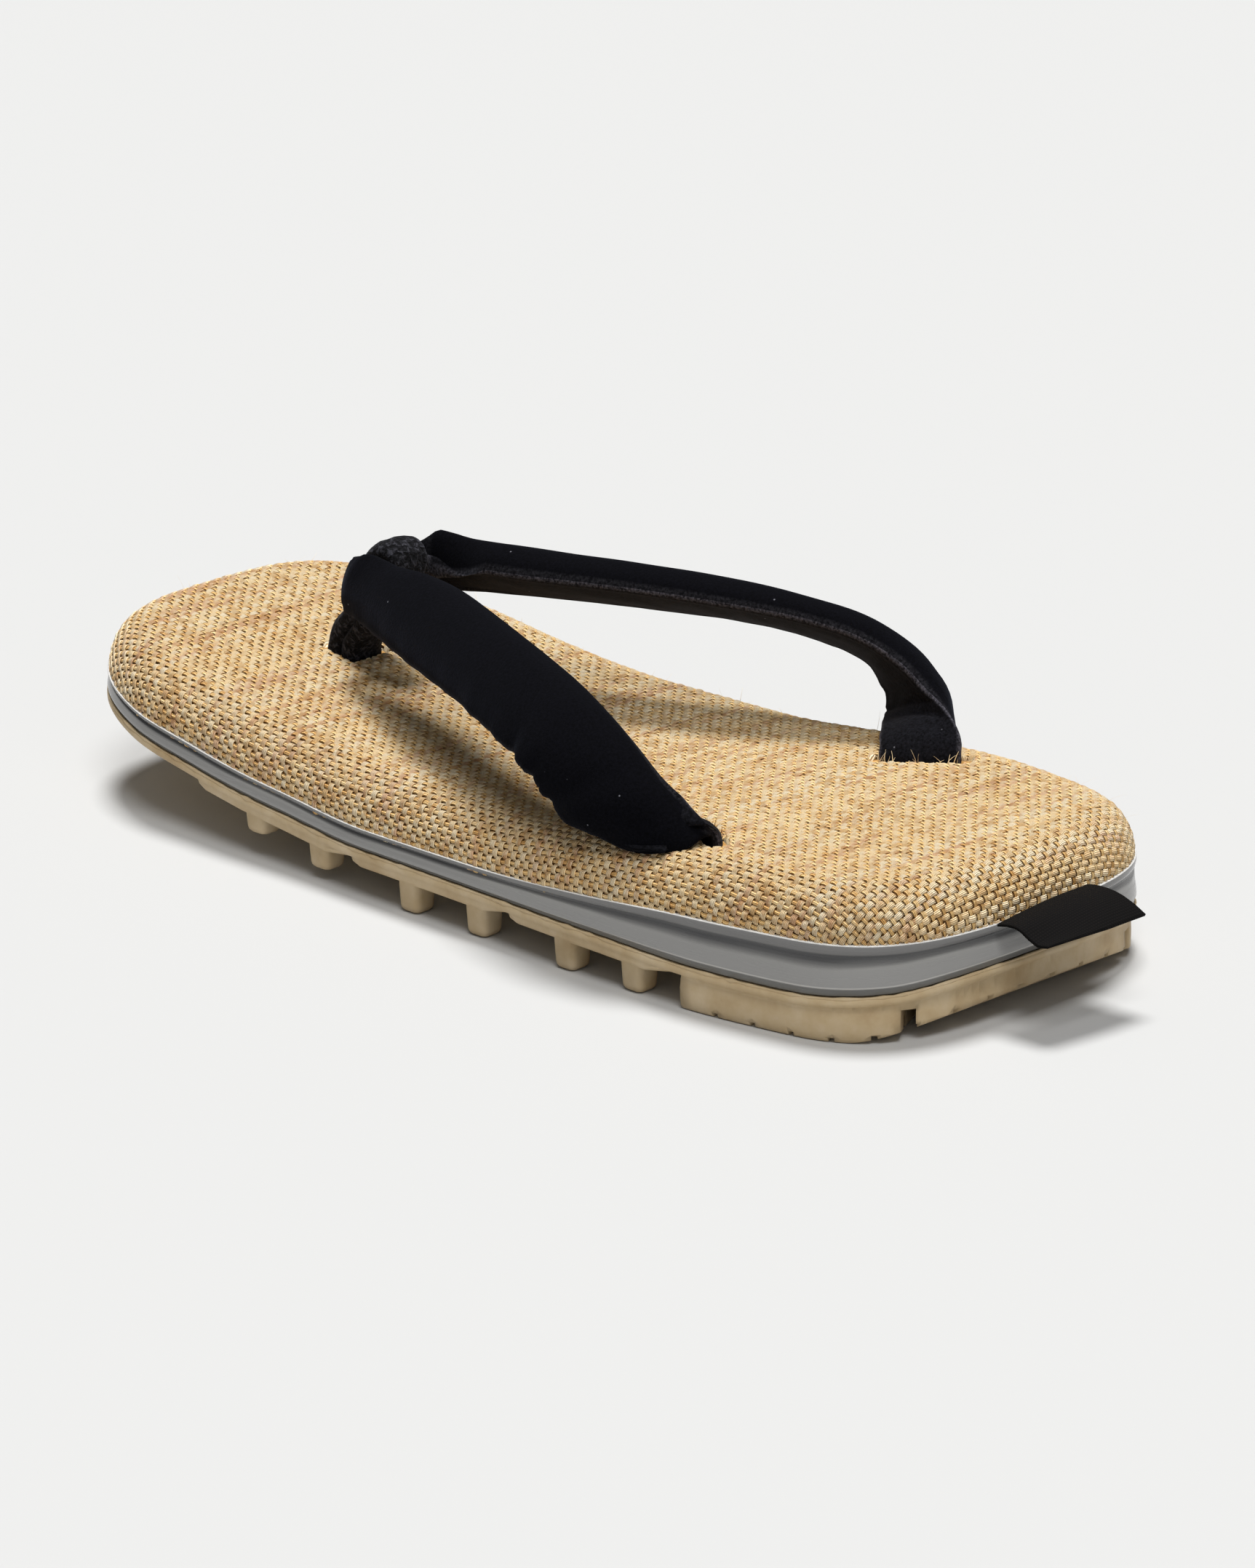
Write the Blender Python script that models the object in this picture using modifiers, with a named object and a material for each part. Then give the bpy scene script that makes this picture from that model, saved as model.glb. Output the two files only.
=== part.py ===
"""Setta sandal: rubber outsole, clear tray, woven pad, padded V strap, toe loop and heel label.

Lengths are metres. +Y points to the toe, +Z up, the sandal stands on z = 0. The tables and
functions count y from the back of the sole; new_object then moves all to the part's origin.
"""

import math

import bmesh
import bpy
import numpy as np

for old in list(bpy.data.objects):
    bpy.data.objects.remove(old, do_unlink=True)

MM = 0.001

# Overall sizes
LENGTH = 270 * MM
WIDTH = 114.8 * MM
HEEL_HEIGHT = 23.2 * MM
HEEL_WALL = 12.3 * MM
STRAP_HEIGHT = 61.2 * MM
FIT_GAP = 0.3 * MM

# Plan of the sole: rounded square heel, rounder toe
HEEL_CAP = 46 * MM
HEEL_SQUARENESS = 3.04
TOE_CAP = 87 * MM
TOE_SQUARENESS = 3.07
RING_HALF_POINTS = 38

# Heights along the sole
PAD_EDGE_HEIGHT = 11.6 * MM
PAD_EDGE_RADIUS = 10.9 * MM
PAD_SIDE_INSET = 0.7 * MM
TRAY_WALL = 2.4 * MM
TRAY_FLOOR = 1.4 * MM
RIM_THICK = 2.4 * MM
RIM_PLATE_INSET = 6 * MM

# Bars, lugs and heel block under the rim
BAR_THICK = 2.0 * MM
BAR_SIDE_INSET = 0.4 * MM
LUG_SIDE = 7.0 * MM
LUG_SIDE_INSET = 1.2 * MM
LUG_PITCH = 17 * MM
LUG_EMBED = 1.6 * MM
LUG_TAPER = 0.88
LUG_CORNER = 1.5 * MM
HEEL_BLOCK_FRONT = 56.5 * MM
HEEL_BLOCK_INSET = 1.1 * MM
HEEL_BEVEL_LENGTH = 18 * MM
HEEL_BEVEL_RISE = 7.0 * MM
GROOVE_WIDTH = 3.2 * MM
GROOVE_DEPTH = 7.6 * MM
GROOVE_CROWN = 20.5 * MM
GROOVE_FALL = 17.4 * MM
GROOVE_SPAN = 40 * MM
SIPE_WIDTH = 1.5 * MM
SIPE_HEIGHT = 1.3 * MM
SIPE_LENGTH = 9 * MM
SIPE_PITCH = 10 * MM
CUT_BELOW = 2 * MM
CUT_WIDE = 70 * MM
CUT_HIGH = 50 * MM

# Strap
SECTION_POINTS = 8
FACE_FLATNESS = 0.5

# Toe loop, a strip folded over the nose of the strap
LOOP_WIDTH = 12 * MM
LOOP_EDGE = 1.6 * MM

# Heel label
TAG_WIDTH = 30 * MM
TAG_REACH = 16.5 * MM
TAG_THICK = 0.9 * MM
TAG_DROOP = 3 * MM

# The part's origin lies on the floor under the middle of its whole length, label included
MIDDLE = (LENGTH - FIT_GAP - TAG_REACH) / 2

# Sole: share of the length, then half width, seam and clear wall as shares of WIDTH,
# HEEL_HEIGHT and HEEL_WALL
SOLE_ROWS = [
    (0.00, 0.4652, 1.0000, 0.7480),
    (0.03, 0.4652, 0.9957, 0.9268),
    (0.10, 0.4652, 0.9871, 1.0000),
    (0.20, 0.4895, 0.9569, 0.9350),
    (0.32, 0.5000, 0.8534, 0.6504),
    (0.45, 0.4834, 0.7457, 0.4553),
    (0.58, 0.4765, 0.7328, 0.4146),
    (0.70, 0.4634, 0.8319, 0.4146),
    (0.80, 0.4634, 0.9828, 0.4146),
    (0.88, 0.4791, 1.1293, 0.3984),
    (1.00, 0.4791, 1.3319, 0.3659),
]
SHARE, HALF_WIDTH, SEAM, WALL = range(4)

# Bars under the rim: rear end and front end as shares of the length
BAR_ROWS = [
    (0.2222, 0.4074),
    (0.4130, 0.6000),
    (0.6056, 0.7963),
]

# Rows of lugs: place as a share of the length, foot as a share of HEEL_HEIGHT
LUG_ROWS = [
    (0.2648, 0.0000),
    (0.3407, 0.0000),
    (0.4500, 0.0000),
    (0.5315, 0.0000),
    (0.6444, 0.1121),
    (0.7241, 0.2500),
]

# Right leg of the strap, from its slot to the middle of the nose: x, y and z of the rear edge
# and of the front edge as shares of WIDTH, LENGTH and STRAP_HEIGHT, then swell of the outer
# face and of the lining, and how upright the outer face starts
STRAP_ROWS = [
    ((0.3467, 0.2222, 0.4183), (0.2666, 0.2837, 0.4183), 2.7 * MM, 2.7 * MM, 0.0),
    ((0.3467, 0.2222, 0.5621), (0.2666, 0.2837, 0.5523), 2.7 * MM, 2.7 * MM, 0.0),
    ((0.3641, 0.2304, 0.6307), (0.3171, 0.3022, 0.5915), 3.4 * MM, 2.6 * MM, 0.0),
    ((0.3737, 0.2489, 0.7026), (0.4024, 0.3304, 0.5752), 7.0 * MM, 2.2 * MM, 0.0),
    ((0.3754, 0.2733, 0.7614), (0.4634, 0.3500, 0.5866), 8.0 * MM, 1.8 * MM, 0.0),
    ((0.3693, 0.3041, 0.8464), (0.4817, 0.3652, 0.6569), 7.3 * MM, 1.6 * MM, 0.0),
    ((0.3476, 0.3437, 0.9150), (0.4852, 0.3837, 0.7190), 6.6 * MM, 1.5 * MM, 0.0),
    ((0.3084, 0.3915, 0.9526), (0.4652, 0.4119, 0.7614), 6.6 * MM, 1.5 * MM, 0.0),
    ((0.2605, 0.4448, 0.9690), (0.4373, 0.4504, 0.7925), 6.8 * MM, 1.5 * MM, 0.0),
    ((0.2091, 0.5004, 0.9788), (0.3929, 0.4970, 0.8121), 7.1 * MM, 1.5 * MM, 0.0),
    ((0.1559, 0.5552, 0.9837), (0.3415, 0.5489, 0.8154), 7.4 * MM, 1.5 * MM, 0.0),
    ((0.1063, 0.6074, 0.9820), (0.2875, 0.6044, 0.8154), 7.8 * MM, 1.5 * MM, 0.0),
    ((0.0767, 0.6556, 0.9739), (0.2300, 0.6578, 0.8137), 8.1 * MM, 1.4 * MM, 0.2),
    ((0.0767, 0.6963, 0.9510), (0.1725, 0.7078, 0.8072), 7.4 * MM, 1.0 * MM, 0.7),
    ((0.0801, 0.7311, 0.9542), (0.1307, 0.7407, 0.7974), 5.6 * MM, 0.8 * MM, 0.9),
    ((0.0854, 0.7578, 1.0065), (0.1098, 0.7585, 0.7843), 1.5 * MM, 1.2 * MM, 0.4),
    ((0.0575, 0.7541, 0.9706), (0.0575, 0.7578, 0.7778), 1.6 * MM, 1.6 * MM, 0.0),
    ((0.0000, 0.7541, 0.9673), (0.0000, 0.7570, 0.7778), 1.6 * MM, 1.6 * MM, 0.0),
]

# Side view of the toe loop: y and z round its outer face as shares of LENGTH and STRAP_HEIGHT
LOOP_OUTLINE = [
    (0.8170, 0.4118), (0.8170, 0.5915), (0.8096, 0.6471), (0.7985, 0.7059),
    (0.7889, 0.7680), (0.7837, 0.8431), (0.7807, 0.9150), (0.7748, 0.9771),
    (0.7644, 1.0163), (0.7504, 1.0458), (0.7356, 1.0686), (0.7237, 1.0588),
    (0.7178, 1.0098), (0.7193, 0.9314), (0.7259, 0.8529), (0.7363, 0.7843),
    (0.7489, 0.7255), (0.7630, 0.6699), (0.7726, 0.6209), (0.7763, 0.5817),
    (0.7763, 0.4118),
]


def along(share, column):
    """Monotone cubic through a column of SOLE_ROWS."""
    x = [row[SHARE] for row in SOLE_ROWS]
    y = [row[column] for row in SOLE_ROWS]
    slopes = [(b - a) / (q - p) for a, b, p, q in zip(y, y[1:], x, x[1:])]
    tangents = [slopes[0]]
    for left, right in zip(slopes, slopes[1:]):
        tangents.append(0.0 if left * right <= 0 else 2 * left * right / (left + right))
    tangents.append(slopes[-1])
    share = min(max(share, x[0]), x[-1])
    k = max(i for i in range(len(x) - 1) if x[i] <= share)
    h = x[k + 1] - x[k]
    t = (share - x[k]) / h
    return (
        y[k] * (1 + 2 * t) * (1 - t) ** 2
        + tangents[k] * h * t * (1 - t) ** 2
        + y[k + 1] * t * t * (3 - 2 * t)
        + tangents[k + 1] * h * t * t * (t - 1)
    )


def half_width(y):
    return along(y / LENGTH, HALF_WIDTH) * WIDTH


def seam_z(y):
    return along(y / LENGTH, SEAM) * HEEL_HEIGHT


def tray_z(y):
    """Underside of the clear tray."""
    return seam_z(y) - along(y / LENGTH, WALL) * HEEL_WALL


def half_outline():
    """Evenly spaced points of the right side, from heel middle to toe middle, with their normals."""
    dense = []
    for i in range(120):
        a = math.pi / 2 * i / 120
        y = HEEL_CAP * (1 - math.cos(a) ** (2 / HEEL_SQUARENESS))
        dense.append((half_width(y) * math.sin(a) ** (2 / HEEL_SQUARENESS), y))
    for i in range(120):
        y = HEEL_CAP + (LENGTH - TOE_CAP - HEEL_CAP) * i / 120
        dense.append((half_width(y), y))
    for i in range(121):
        a = math.pi / 2 * i / 120
        y = LENGTH - TOE_CAP + TOE_CAP * math.sin(a) ** (2 / TOE_SQUARENESS)
        dense.append((half_width(y) * math.cos(a) ** (2 / TOE_SQUARENESS), y))
    dense = np.array(dense)
    steps = np.hypot(*np.diff(dense, axis=0).T)
    run = np.concatenate([[0], np.cumsum(steps)])
    even = np.linspace(0, run[-1], RING_HALF_POINTS + 1)
    points = np.stack([np.interp(even, run, dense[:, 0]), np.interp(even, run, dense[:, 1])], 1)
    points[0, 0] = points[-1, 0] = 0.0
    tangents = np.gradient(points, axis=0)
    tangents /= np.linalg.norm(tangents, axis=1)[:, None]
    normals = np.stack([tangents[:, 1], -tangents[:, 0]], 1)
    normals[0] = (0, -1)
    normals[-1] = (0, 1)
    return points, normals


HALF_POINTS, HALF_NORMALS = half_outline()


def ring(inset, height, toward_spine=0.0):
    """Closed loop of points inside the plan; height is a function of y."""
    points = []
    for side in (1, -1):
        order = range(len(HALF_POINTS)) if side == 1 else range(len(HALF_POINTS) - 2, 0, -1)
        for i in order:
            x, y = HALF_POINTS[i] - HALF_NORMALS[i] * inset
            spine_y = min(max(y, HEEL_CAP), LENGTH - TOE_CAP * 0.7)
            x *= 1 - toward_spine
            y += (spine_y - y) * toward_spine
            points.append((side * x, y, height(y)))
    return points


def new_object(name, bm, color, roughness, **material_inputs):
    """Mesh object with its own material."""
    bmesh.ops.remove_doubles(bm, verts=bm.verts, dist=0.01 * MM)
    bmesh.ops.recalc_face_normals(bm, faces=bm.faces)
    bmesh.ops.translate(bm, verts=bm.verts, vec=(0, -MIDDLE, 0))
    mesh = bpy.data.meshes.new(name)
    bm.to_mesh(mesh)
    bm.free()
    thing = bpy.data.objects.new(name, mesh)
    bpy.context.scene.collection.objects.link(thing)
    material = bpy.data.materials.new(name)
    material.use_nodes = True
    shader = material.node_tree.nodes["Principled BSDF"]
    shader.inputs["Base Color"].default_value = (*color, 1)
    shader.inputs["Roughness"].default_value = roughness
    for key, value in material_inputs.items():
        shader.inputs[key.replace("_", " ")].default_value = value
    mesh.materials.append(material)
    return thing


def loft(loops, bm=None, cap=False):
    """Skin of quads over a list of closed loops; cap closes the first and the last."""
    bm = bm or bmesh.new()
    verts = [[bm.verts.new(p) for p in loop] for loop in loops]
    for low, high in zip(verts, verts[1:]):
        for i in range(len(low)):
            j = (i + 1) % len(low)
            bm.faces.new((low[i], low[j], high[j], high[i]))
    if cap:
        bm.faces.new(verts[0][::-1])
        bm.faces.new(verts[-1])
    return bm


def cutter(name, bm):
    """Object that only cuts: kept in a hidden collection."""
    thing = new_object(name, bm, (0.5, 0.5, 0.5), 0.5)
    hidden = bpy.data.collections.get("cutters")
    if hidden is None:
        hidden = bpy.data.collections.new("cutters")
        bpy.context.scene.collection.children.link(hidden)
    bpy.context.scene.collection.objects.unlink(thing)
    hidden.objects.link(thing)
    thing.hide_render = True
    thing.display_type = "WIRE"
    return thing


def boolean(target, tool, operation):
    modifier = target.modifiers.new(operation.title(), "BOOLEAN")
    modifier.operation = operation
    modifier.solver = "EXACT"
    modifier.object = tool


# Footbed: foam core under the woven cover, with two strap slots and the toe hole
def pad_base(y):
    return tray_z(y) + TRAY_FLOOR + FIT_GAP


def pad_brim(y):
    return seam_z(y) + FIT_GAP


def pad_top(y):
    return pad_brim(y) + PAD_EDGE_HEIGHT


def raised(points, rise):
    return [(x, y, z + rise) for x, y, z in points]


def pad_rings():
    core = TRAY_WALL + FIT_GAP
    rings = [ring(core, pad_base, 1.0), ring(core, pad_base, 0.5), ring(core, pad_base)]
    rings.append(ring(core, pad_brim))
    for step in range(6):
        turn = math.pi / 2 * step / 5
        inset = PAD_SIDE_INSET + PAD_EDGE_RADIUS * (1 - math.cos(turn))
        rings.append(raised(ring(inset, pad_brim), PAD_EDGE_HEIGHT * math.sin(turn)))
    edge = PAD_SIDE_INSET + PAD_EDGE_RADIUS
    rings += [ring(edge, pad_top, 0.35), ring(edge, pad_top, 0.7), ring(edge, pad_top, 1.0)]
    return rings


footbed = new_object("footbed", loft(pad_rings()), (0.78, 0.62, 0.38), 0.85)


# Strap: lens section swept along the leg's two edges, mirrored over the nose
def strap_section(rows, k):
    """Closed loop of one row, from the rear edge over the outer face to the front edge and back."""
    full = np.array((WIDTH, LENGTH, STRAP_HEIGHT))
    rear, front, swell, belly, upright = rows[k]
    rear, front = rear * full, front * full
    before, after = rows[max(k - 1, 0)], rows[min(k + 1, len(rows) - 1)]
    run = sum((np.array(after[i]) - np.array(before[i])) * full for i in (0, 1))
    if k > len(rows) - 4:
        run = np.array([-1.0, 0, 0])
    if k < 2:
        run = np.array([0, 0, 1.0])
    chord = front - rear
    outward = np.cross(chord, run)
    outward /= np.linalg.norm(outward)
    loop = []
    for i in range(SECTION_POINTS):
        t = 0.5 - 0.5 * math.cos(math.pi * i / SECTION_POINTS)
        height = swell * math.sin(math.pi * t**0.8) ** FACE_FLATNESS
        lean = upright * (1 - t)
        out = outward * (1 - lean) + np.array((0, 0, 1.0)) * lean
        loop.append(rear + chord * t + out / np.linalg.norm(out) * height)
    for i in range(SECTION_POINTS):
        t = 0.5 + 0.5 * math.cos(math.pi * i / SECTION_POINTS)
        height = -belly * math.sin(math.pi * t) ** FACE_FLATNESS
        loop.append(rear + chord * t + outward * height)
    return [tuple(p) for p in loop]


strap_loops = [strap_section(STRAP_ROWS, k) for k in range(len(STRAP_ROWS))]
strap_mesh = loft(strap_loops)
strap_mesh.faces.new([strap_mesh.verts[:][i] for i in range(2 * SECTION_POINTS)])
strap = new_object("strap", strap_mesh, (0.012, 0.013, 0.018), 0.9)
mirror = strap.modifiers.new("Mirror", "MIRROR")
mirror.merge_threshold = 0.0001

# Toe loop: strip folded over the nose, both ends down in the toe hole
loop_mesh = bmesh.new()
levels = [(-0.5, LOOP_EDGE), (-0.5, 0.0), (0.5, 0.0), (0.5, LOOP_EDGE)]


def loop_ring(side, shrink):
    """Outline at one x, moved in along its own normals."""
    outline = np.array(LOOP_OUTLINE) * (LENGTH, STRAP_HEIGHT)
    tangents = np.roll(outline, -1, axis=0) - np.roll(outline, 1, axis=0)
    tangents /= np.linalg.norm(tangents, axis=1)[:, None]
    normals = np.stack([tangents[:, 1], -tangents[:, 0]], 1)
    moved = outline - normals * shrink
    x = side * (LOOP_WIDTH if shrink else LOOP_WIDTH - 2 * LOOP_EDGE)
    return [(x, y, z) for y, z in moved]


loft([loop_ring(*level) for level in levels], loop_mesh, cap=True)
toe_loop = new_object("toe_loop", loop_mesh, (0.03, 0.03, 0.036), 0.95)
nose = strap_section(STRAP_ROWS, len(STRAP_ROWS) - 1)
nose_middle = np.mean(np.array(nose), axis=0)


def grown(points, middle, gap, x):
    """Section at one x, moved away from its middle by a gap."""
    out = []
    for p in points:
        away = np.array(p) - middle
        size = np.linalg.norm(away)
        q = middle + away * (size + gap) / size
        out.append((x, q[1], q[2]))
    return out


nose_hole = loft([grown(nose, nose_middle, 2.2 * FIT_GAP, x) for x in (-LOOP_WIDTH, LOOP_WIDTH)], cap=True)
boolean(toe_loop, cutter("nose_hole", nose_hole), "DIFFERENCE")

# Slots and toe hole in the footbed
slots = bmesh.new()
for side in (1, -1):
    section = np.array([(side * x, y, z) for x, y, z in strap_section(STRAP_ROWS, 0)])
    middle = section.mean(axis=0)
    loops = []
    away = section - middle
    away *= 1 + 1.5 * FIT_GAP / np.linalg.norm(away, axis=1)[:, None]
    for z in (section[0, 2] - FIT_GAP, CUT_HIGH):
        loops.append([(*xy, z) for xy in (middle + away)[:, :2]])
    loft(loops, slots, cap=True)
boolean(footbed, cutter("strap_slots", slots), "DIFFERENCE")

toe_hole = bmesh.new()
hole_rear = LOOP_OUTLINE[-1][0] * LENGTH - FIT_GAP
hole_front = LOOP_OUTLINE[0][0] * LENGTH + FIT_GAP
hole_floor = LOOP_OUTLINE[0][1] * STRAP_HEIGHT - FIT_GAP
bmesh.ops.create_cube(toe_hole, size=1)
for v in toe_hole.verts:
    v.co.x *= LOOP_WIDTH + 2 * FIT_GAP
    v.co.y = hole_rear if v.co.y < 0 else hole_front
    v.co.z = hole_floor if v.co.z < 0 else CUT_HIGH
boolean(footbed, cutter("toe_hole", toe_hole), "DIFFERENCE")

# Midsole: clear tray that holds the pad
WALL_PROFILE = [
    (0.5 * MM, 0.00),
    (0.1 * MM, 0.06),
    (0.1 * MM, 0.16),
    (0.6 * MM, 0.26),
    (0.6 * MM, 0.70),
    (1.1 * MM, 0.78),
    (0.2 * MM, 0.86),
    (0.0 * MM, 0.94),
    (0.4 * MM, 1.00),
]


def tray_floor(y):
    return tray_z(y) + TRAY_FLOOR


def tray_rings():
    rings = [ring(TRAY_WALL, tray_z, 1.0), ring(TRAY_WALL, tray_z, 0.5), ring(TRAY_WALL, tray_z)]
    for inset, share in WALL_PROFILE:
        low = ring(inset, tray_z)
        high = ring(inset, seam_z)
        rings.append([(x, y, z + share * (top - z)) for (x, y, z), (_, _, top) in zip(low, high)])
    rings.append(ring(TRAY_WALL, seam_z))
    rings += [ring(TRAY_WALL, tray_floor, share) for share in (0.0, 0.5, 1.0)]
    return rings


midsole = new_object("midsole", loft(tray_rings()), (0.42, 0.43, 0.44), 0.25)

# Outsole: rim plate, bars, lugs and heel block, one rubber moulding
def plate_top(y):
    return tray_z(y) - FIT_GAP


def plate_low(y):
    return plate_top(y) - RIM_THICK


plate_rings = [
    ring(RIM_PLATE_INSET, plate_low, 1.0),
    ring(RIM_PLATE_INSET, plate_low, 0.5),
    ring(RIM_PLATE_INSET, plate_low),
    ring(0.9 * MM, plate_low),
    raised(ring(0.1 * MM, plate_low), 0.25 * RIM_THICK),
    raised(ring(0.1 * MM, plate_low), 0.75 * RIM_THICK),
    ring(0.7 * MM, plate_top),
    ring(RIM_PLATE_INSET, plate_top),
    ring(RIM_PLATE_INSET, plate_top, 0.5),
    ring(RIM_PLATE_INSET, plate_top, 1.0),
]
outsole = new_object("outsole", loft(plate_rings), (0.62, 0.46, 0.26), 0.55)


def half_width_at(y):
    return float(np.interp(y, HALF_POINTS[:, 1], HALF_POINTS[:, 0]))


tread = bmesh.new()
for rear, front in BAR_ROWS:
    loops = []
    for share in (0.0, 0.14, 0.4, 0.7, 1.0):
        y = (rear + (front - rear) * share) * LENGTH
        thick = BAR_THICK if share > 0 else 0.3 * BAR_THICK
        x = half_width_at(y) - BAR_SIDE_INSET
        low = plate_low(y) - thick
        high = plate_low(y) + 0.4 * RIM_THICK
        right = [(x - 0.5 * thick, low), (x, low + 0.5 * thick), (x - BAR_SIDE_INSET, high)]
        loops.append([(rx, y, z) for rx, z in right] + [(-rx, y, z) for rx, z in reversed(right)])
    loft(loops, tread, cap=True)
boolean(outsole, cutter("bars", tread), "UNION")

lugs = bmesh.new()
for row_share, foot_share in LUG_ROWS:
    y = row_share * LENGTH
    foot = foot_share * HEEL_HEIGHT
    reach = half_width_at(y) - LUG_SIDE_INSET - LUG_SIDE / 2
    count = int(reach // LUG_PITCH)
    for i in range(-count - 1, count + 2):
        x = max(min(i * LUG_PITCH, reach), -reach)
        if abs(i) == count + 1:
            x = math.copysign(reach, i)
        elif abs(abs(x) - reach) < LUG_PITCH * 0.6:
            continue
        top = plate_low(y) - BAR_THICK + LUG_EMBED
        lug = bmesh.new()
        bmesh.ops.create_cube(lug, size=1)
        for v in lug.verts:
            side = LUG_SIDE * (1 if v.co.z > 0 else LUG_TAPER)
            v.co.x = x + v.co.x * side
            v.co.y = y + v.co.y * side
            v.co.z = top if v.co.z > 0 else foot
        upright = [e for e in lug.edges if abs(e.verts[0].co.z - e.verts[1].co.z) > MM]
        bmesh.ops.bevel(
            lug, geom=upright, offset=LUG_CORNER, segments=2, profile=0.5, affect="EDGES", material=-1
        )
        temp = bpy.data.meshes.new("lug")
        lug.to_mesh(temp)
        lug.free()
        lugs.from_mesh(temp)
        bpy.data.meshes.remove(temp)
boolean(outsole, cutter("lugs", lugs), "UNION")

# Heel block under the rim, with its curved groove and the short sipes round its edge
block_count = int(np.searchsorted(HALF_POINTS[:, 1], HEEL_BLOCK_FRONT - 2 * MM))


def block_loop(inset, height=None):
    """Plan of the heel block at one height, or at the rim when none is given."""
    right = [tuple(HALF_POINTS[i] - HALF_NORMALS[i] * inset) for i in range(block_count)]
    right.append((half_width_at(HEEL_BLOCK_FRONT) - inset, HEEL_BLOCK_FRONT))
    plan = right + [(-x, y) for x, y in reversed(right[1:])]
    if height is None:
        return [(x, y, plate_low(y) + 0.4 * RIM_THICK) for x, y in plan]
    return [(x, y, height) for x, y in plan]


def tread_z(y):
    """Ground side of the heel block, lifted at the very back."""
    return HEEL_BEVEL_RISE * max(0.0, 1 - y / HEEL_BEVEL_LENGTH) ** 2


block = loft(
    [
        block_loop(HEEL_BLOCK_INSET + 1.4 * MM, 0.0),
        block_loop(HEEL_BLOCK_INSET + 0.4 * MM, 1.0 * MM),
        block_loop(HEEL_BLOCK_INSET, 3.0 * MM),
        block_loop(HEEL_BLOCK_INSET),
    ],
    cap=True,
)
boolean(outsole, cutter("heel_block", block), "UNION")

bevel_side = [(y, tread_z(y)) for y in np.linspace(0, HEEL_BEVEL_LENGTH * 0.85, 5)]
bevel_side = [(-6 * MM, 12 * MM), *bevel_side, (HEEL_BEVEL_LENGTH, -0.5 * MM), (-6 * MM, -CUT_BELOW)]
bevel = loft([[(x, y, z) for y, z in bevel_side] for x in (-CUT_WIDE, CUT_WIDE)], cap=True)
boolean(outsole, cutter("heel_bevel", bevel), "DIFFERENCE")

groove = bmesh.new()
groove_rows = []
for x in np.linspace(-1.5, 1.5, 13) * GROOVE_SPAN:
    groove_rows.append((x, GROOVE_CROWN - GROOVE_FALL * (x / GROOVE_SPAN) ** 2))
slope = np.gradient(np.array(groove_rows), axis=0)
slope /= np.linalg.norm(slope, axis=1)[:, None]
groove_loops = []
for (x, y), (dx, dy) in zip(groove_rows, slope):
    half = GROOVE_WIDTH / 2
    sides = [(x - dy * half, y + dx * half), (x + dy * half, y - dx * half)]
    corners = [(0, -CUT_BELOW), (1, -CUT_BELOW), (1, GROOVE_DEPTH), (0, GROOVE_DEPTH)]
    groove_loops.append([(*sides[k], z) for k, z in corners])
loft(groove_loops, groove, cap=True)
boolean(outsole, cutter("heel_groove", groove), "DIFFERENCE")

sipes = bmesh.new()
walk = np.concatenate([[0], np.cumsum(np.hypot(*np.diff(HALF_POINTS, axis=0).T))])
for side in (1, -1):
    for k in range(9):
        run = SIPE_PITCH * (k + 0.5)
        point = np.array([np.interp(run, walk, HALF_POINTS[:, j]) for j in (0, 1)])
        normal = np.array([np.interp(run, walk, HALF_NORMALS[:, j]) for j in (0, 1)])
        normal /= np.linalg.norm(normal)
        if point[1] > HEEL_BLOCK_FRONT - 3 * MM:
            continue
        across = np.array([-normal[1], normal[0]]) * SIPE_WIDTH / 2
        outer = point + normal * CUT_BELOW
        inner = point - normal * (SIPE_LENGTH + HEEL_BLOCK_INSET)
        base = tread_z(point[1])
        corners = [outer + across, inner + across, inner - across, outer - across]
        levels = (-CUT_BELOW, base + SIPE_HEIGHT)
        loft([[(side * p[0], p[1], z) for p in corners] for z in levels], sipes, cap=True)
boolean(outsole, cutter("sipes", sipes), "DIFFERENCE")

# Heel label: folded ribbon that stands out behind from the seam
tag_mesh = bmesh.new()
tag_loops = []
for step in range(7):
    t = step / 6
    y = -FIT_GAP - TAG_REACH * t
    z = seam_z(0) + 0.1 * MM - TAG_DROOP * t * t
    x = TAG_WIDTH / 2
    tag_loops.append([(s * x, y, z + h * TAG_THICK) for s, h in ((-1, 0), (1, 0), (1, 1), (-1, 1))])
loft(tag_loops, tag_mesh, cap=True)
heel_tag = new_object("heel_tag", tag_mesh, (0.05, 0.045, 0.045), 0.8)
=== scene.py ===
"""Setta sandal seen from the heel's left: gum rubber outsole, smoky clear tray, padded straw
footbed, velvet V strap, toe loop and heel label. Pieces follow in order of assembly."""

import math

import bmesh
import bpy
import numpy as np
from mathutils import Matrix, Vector, noise


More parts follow.
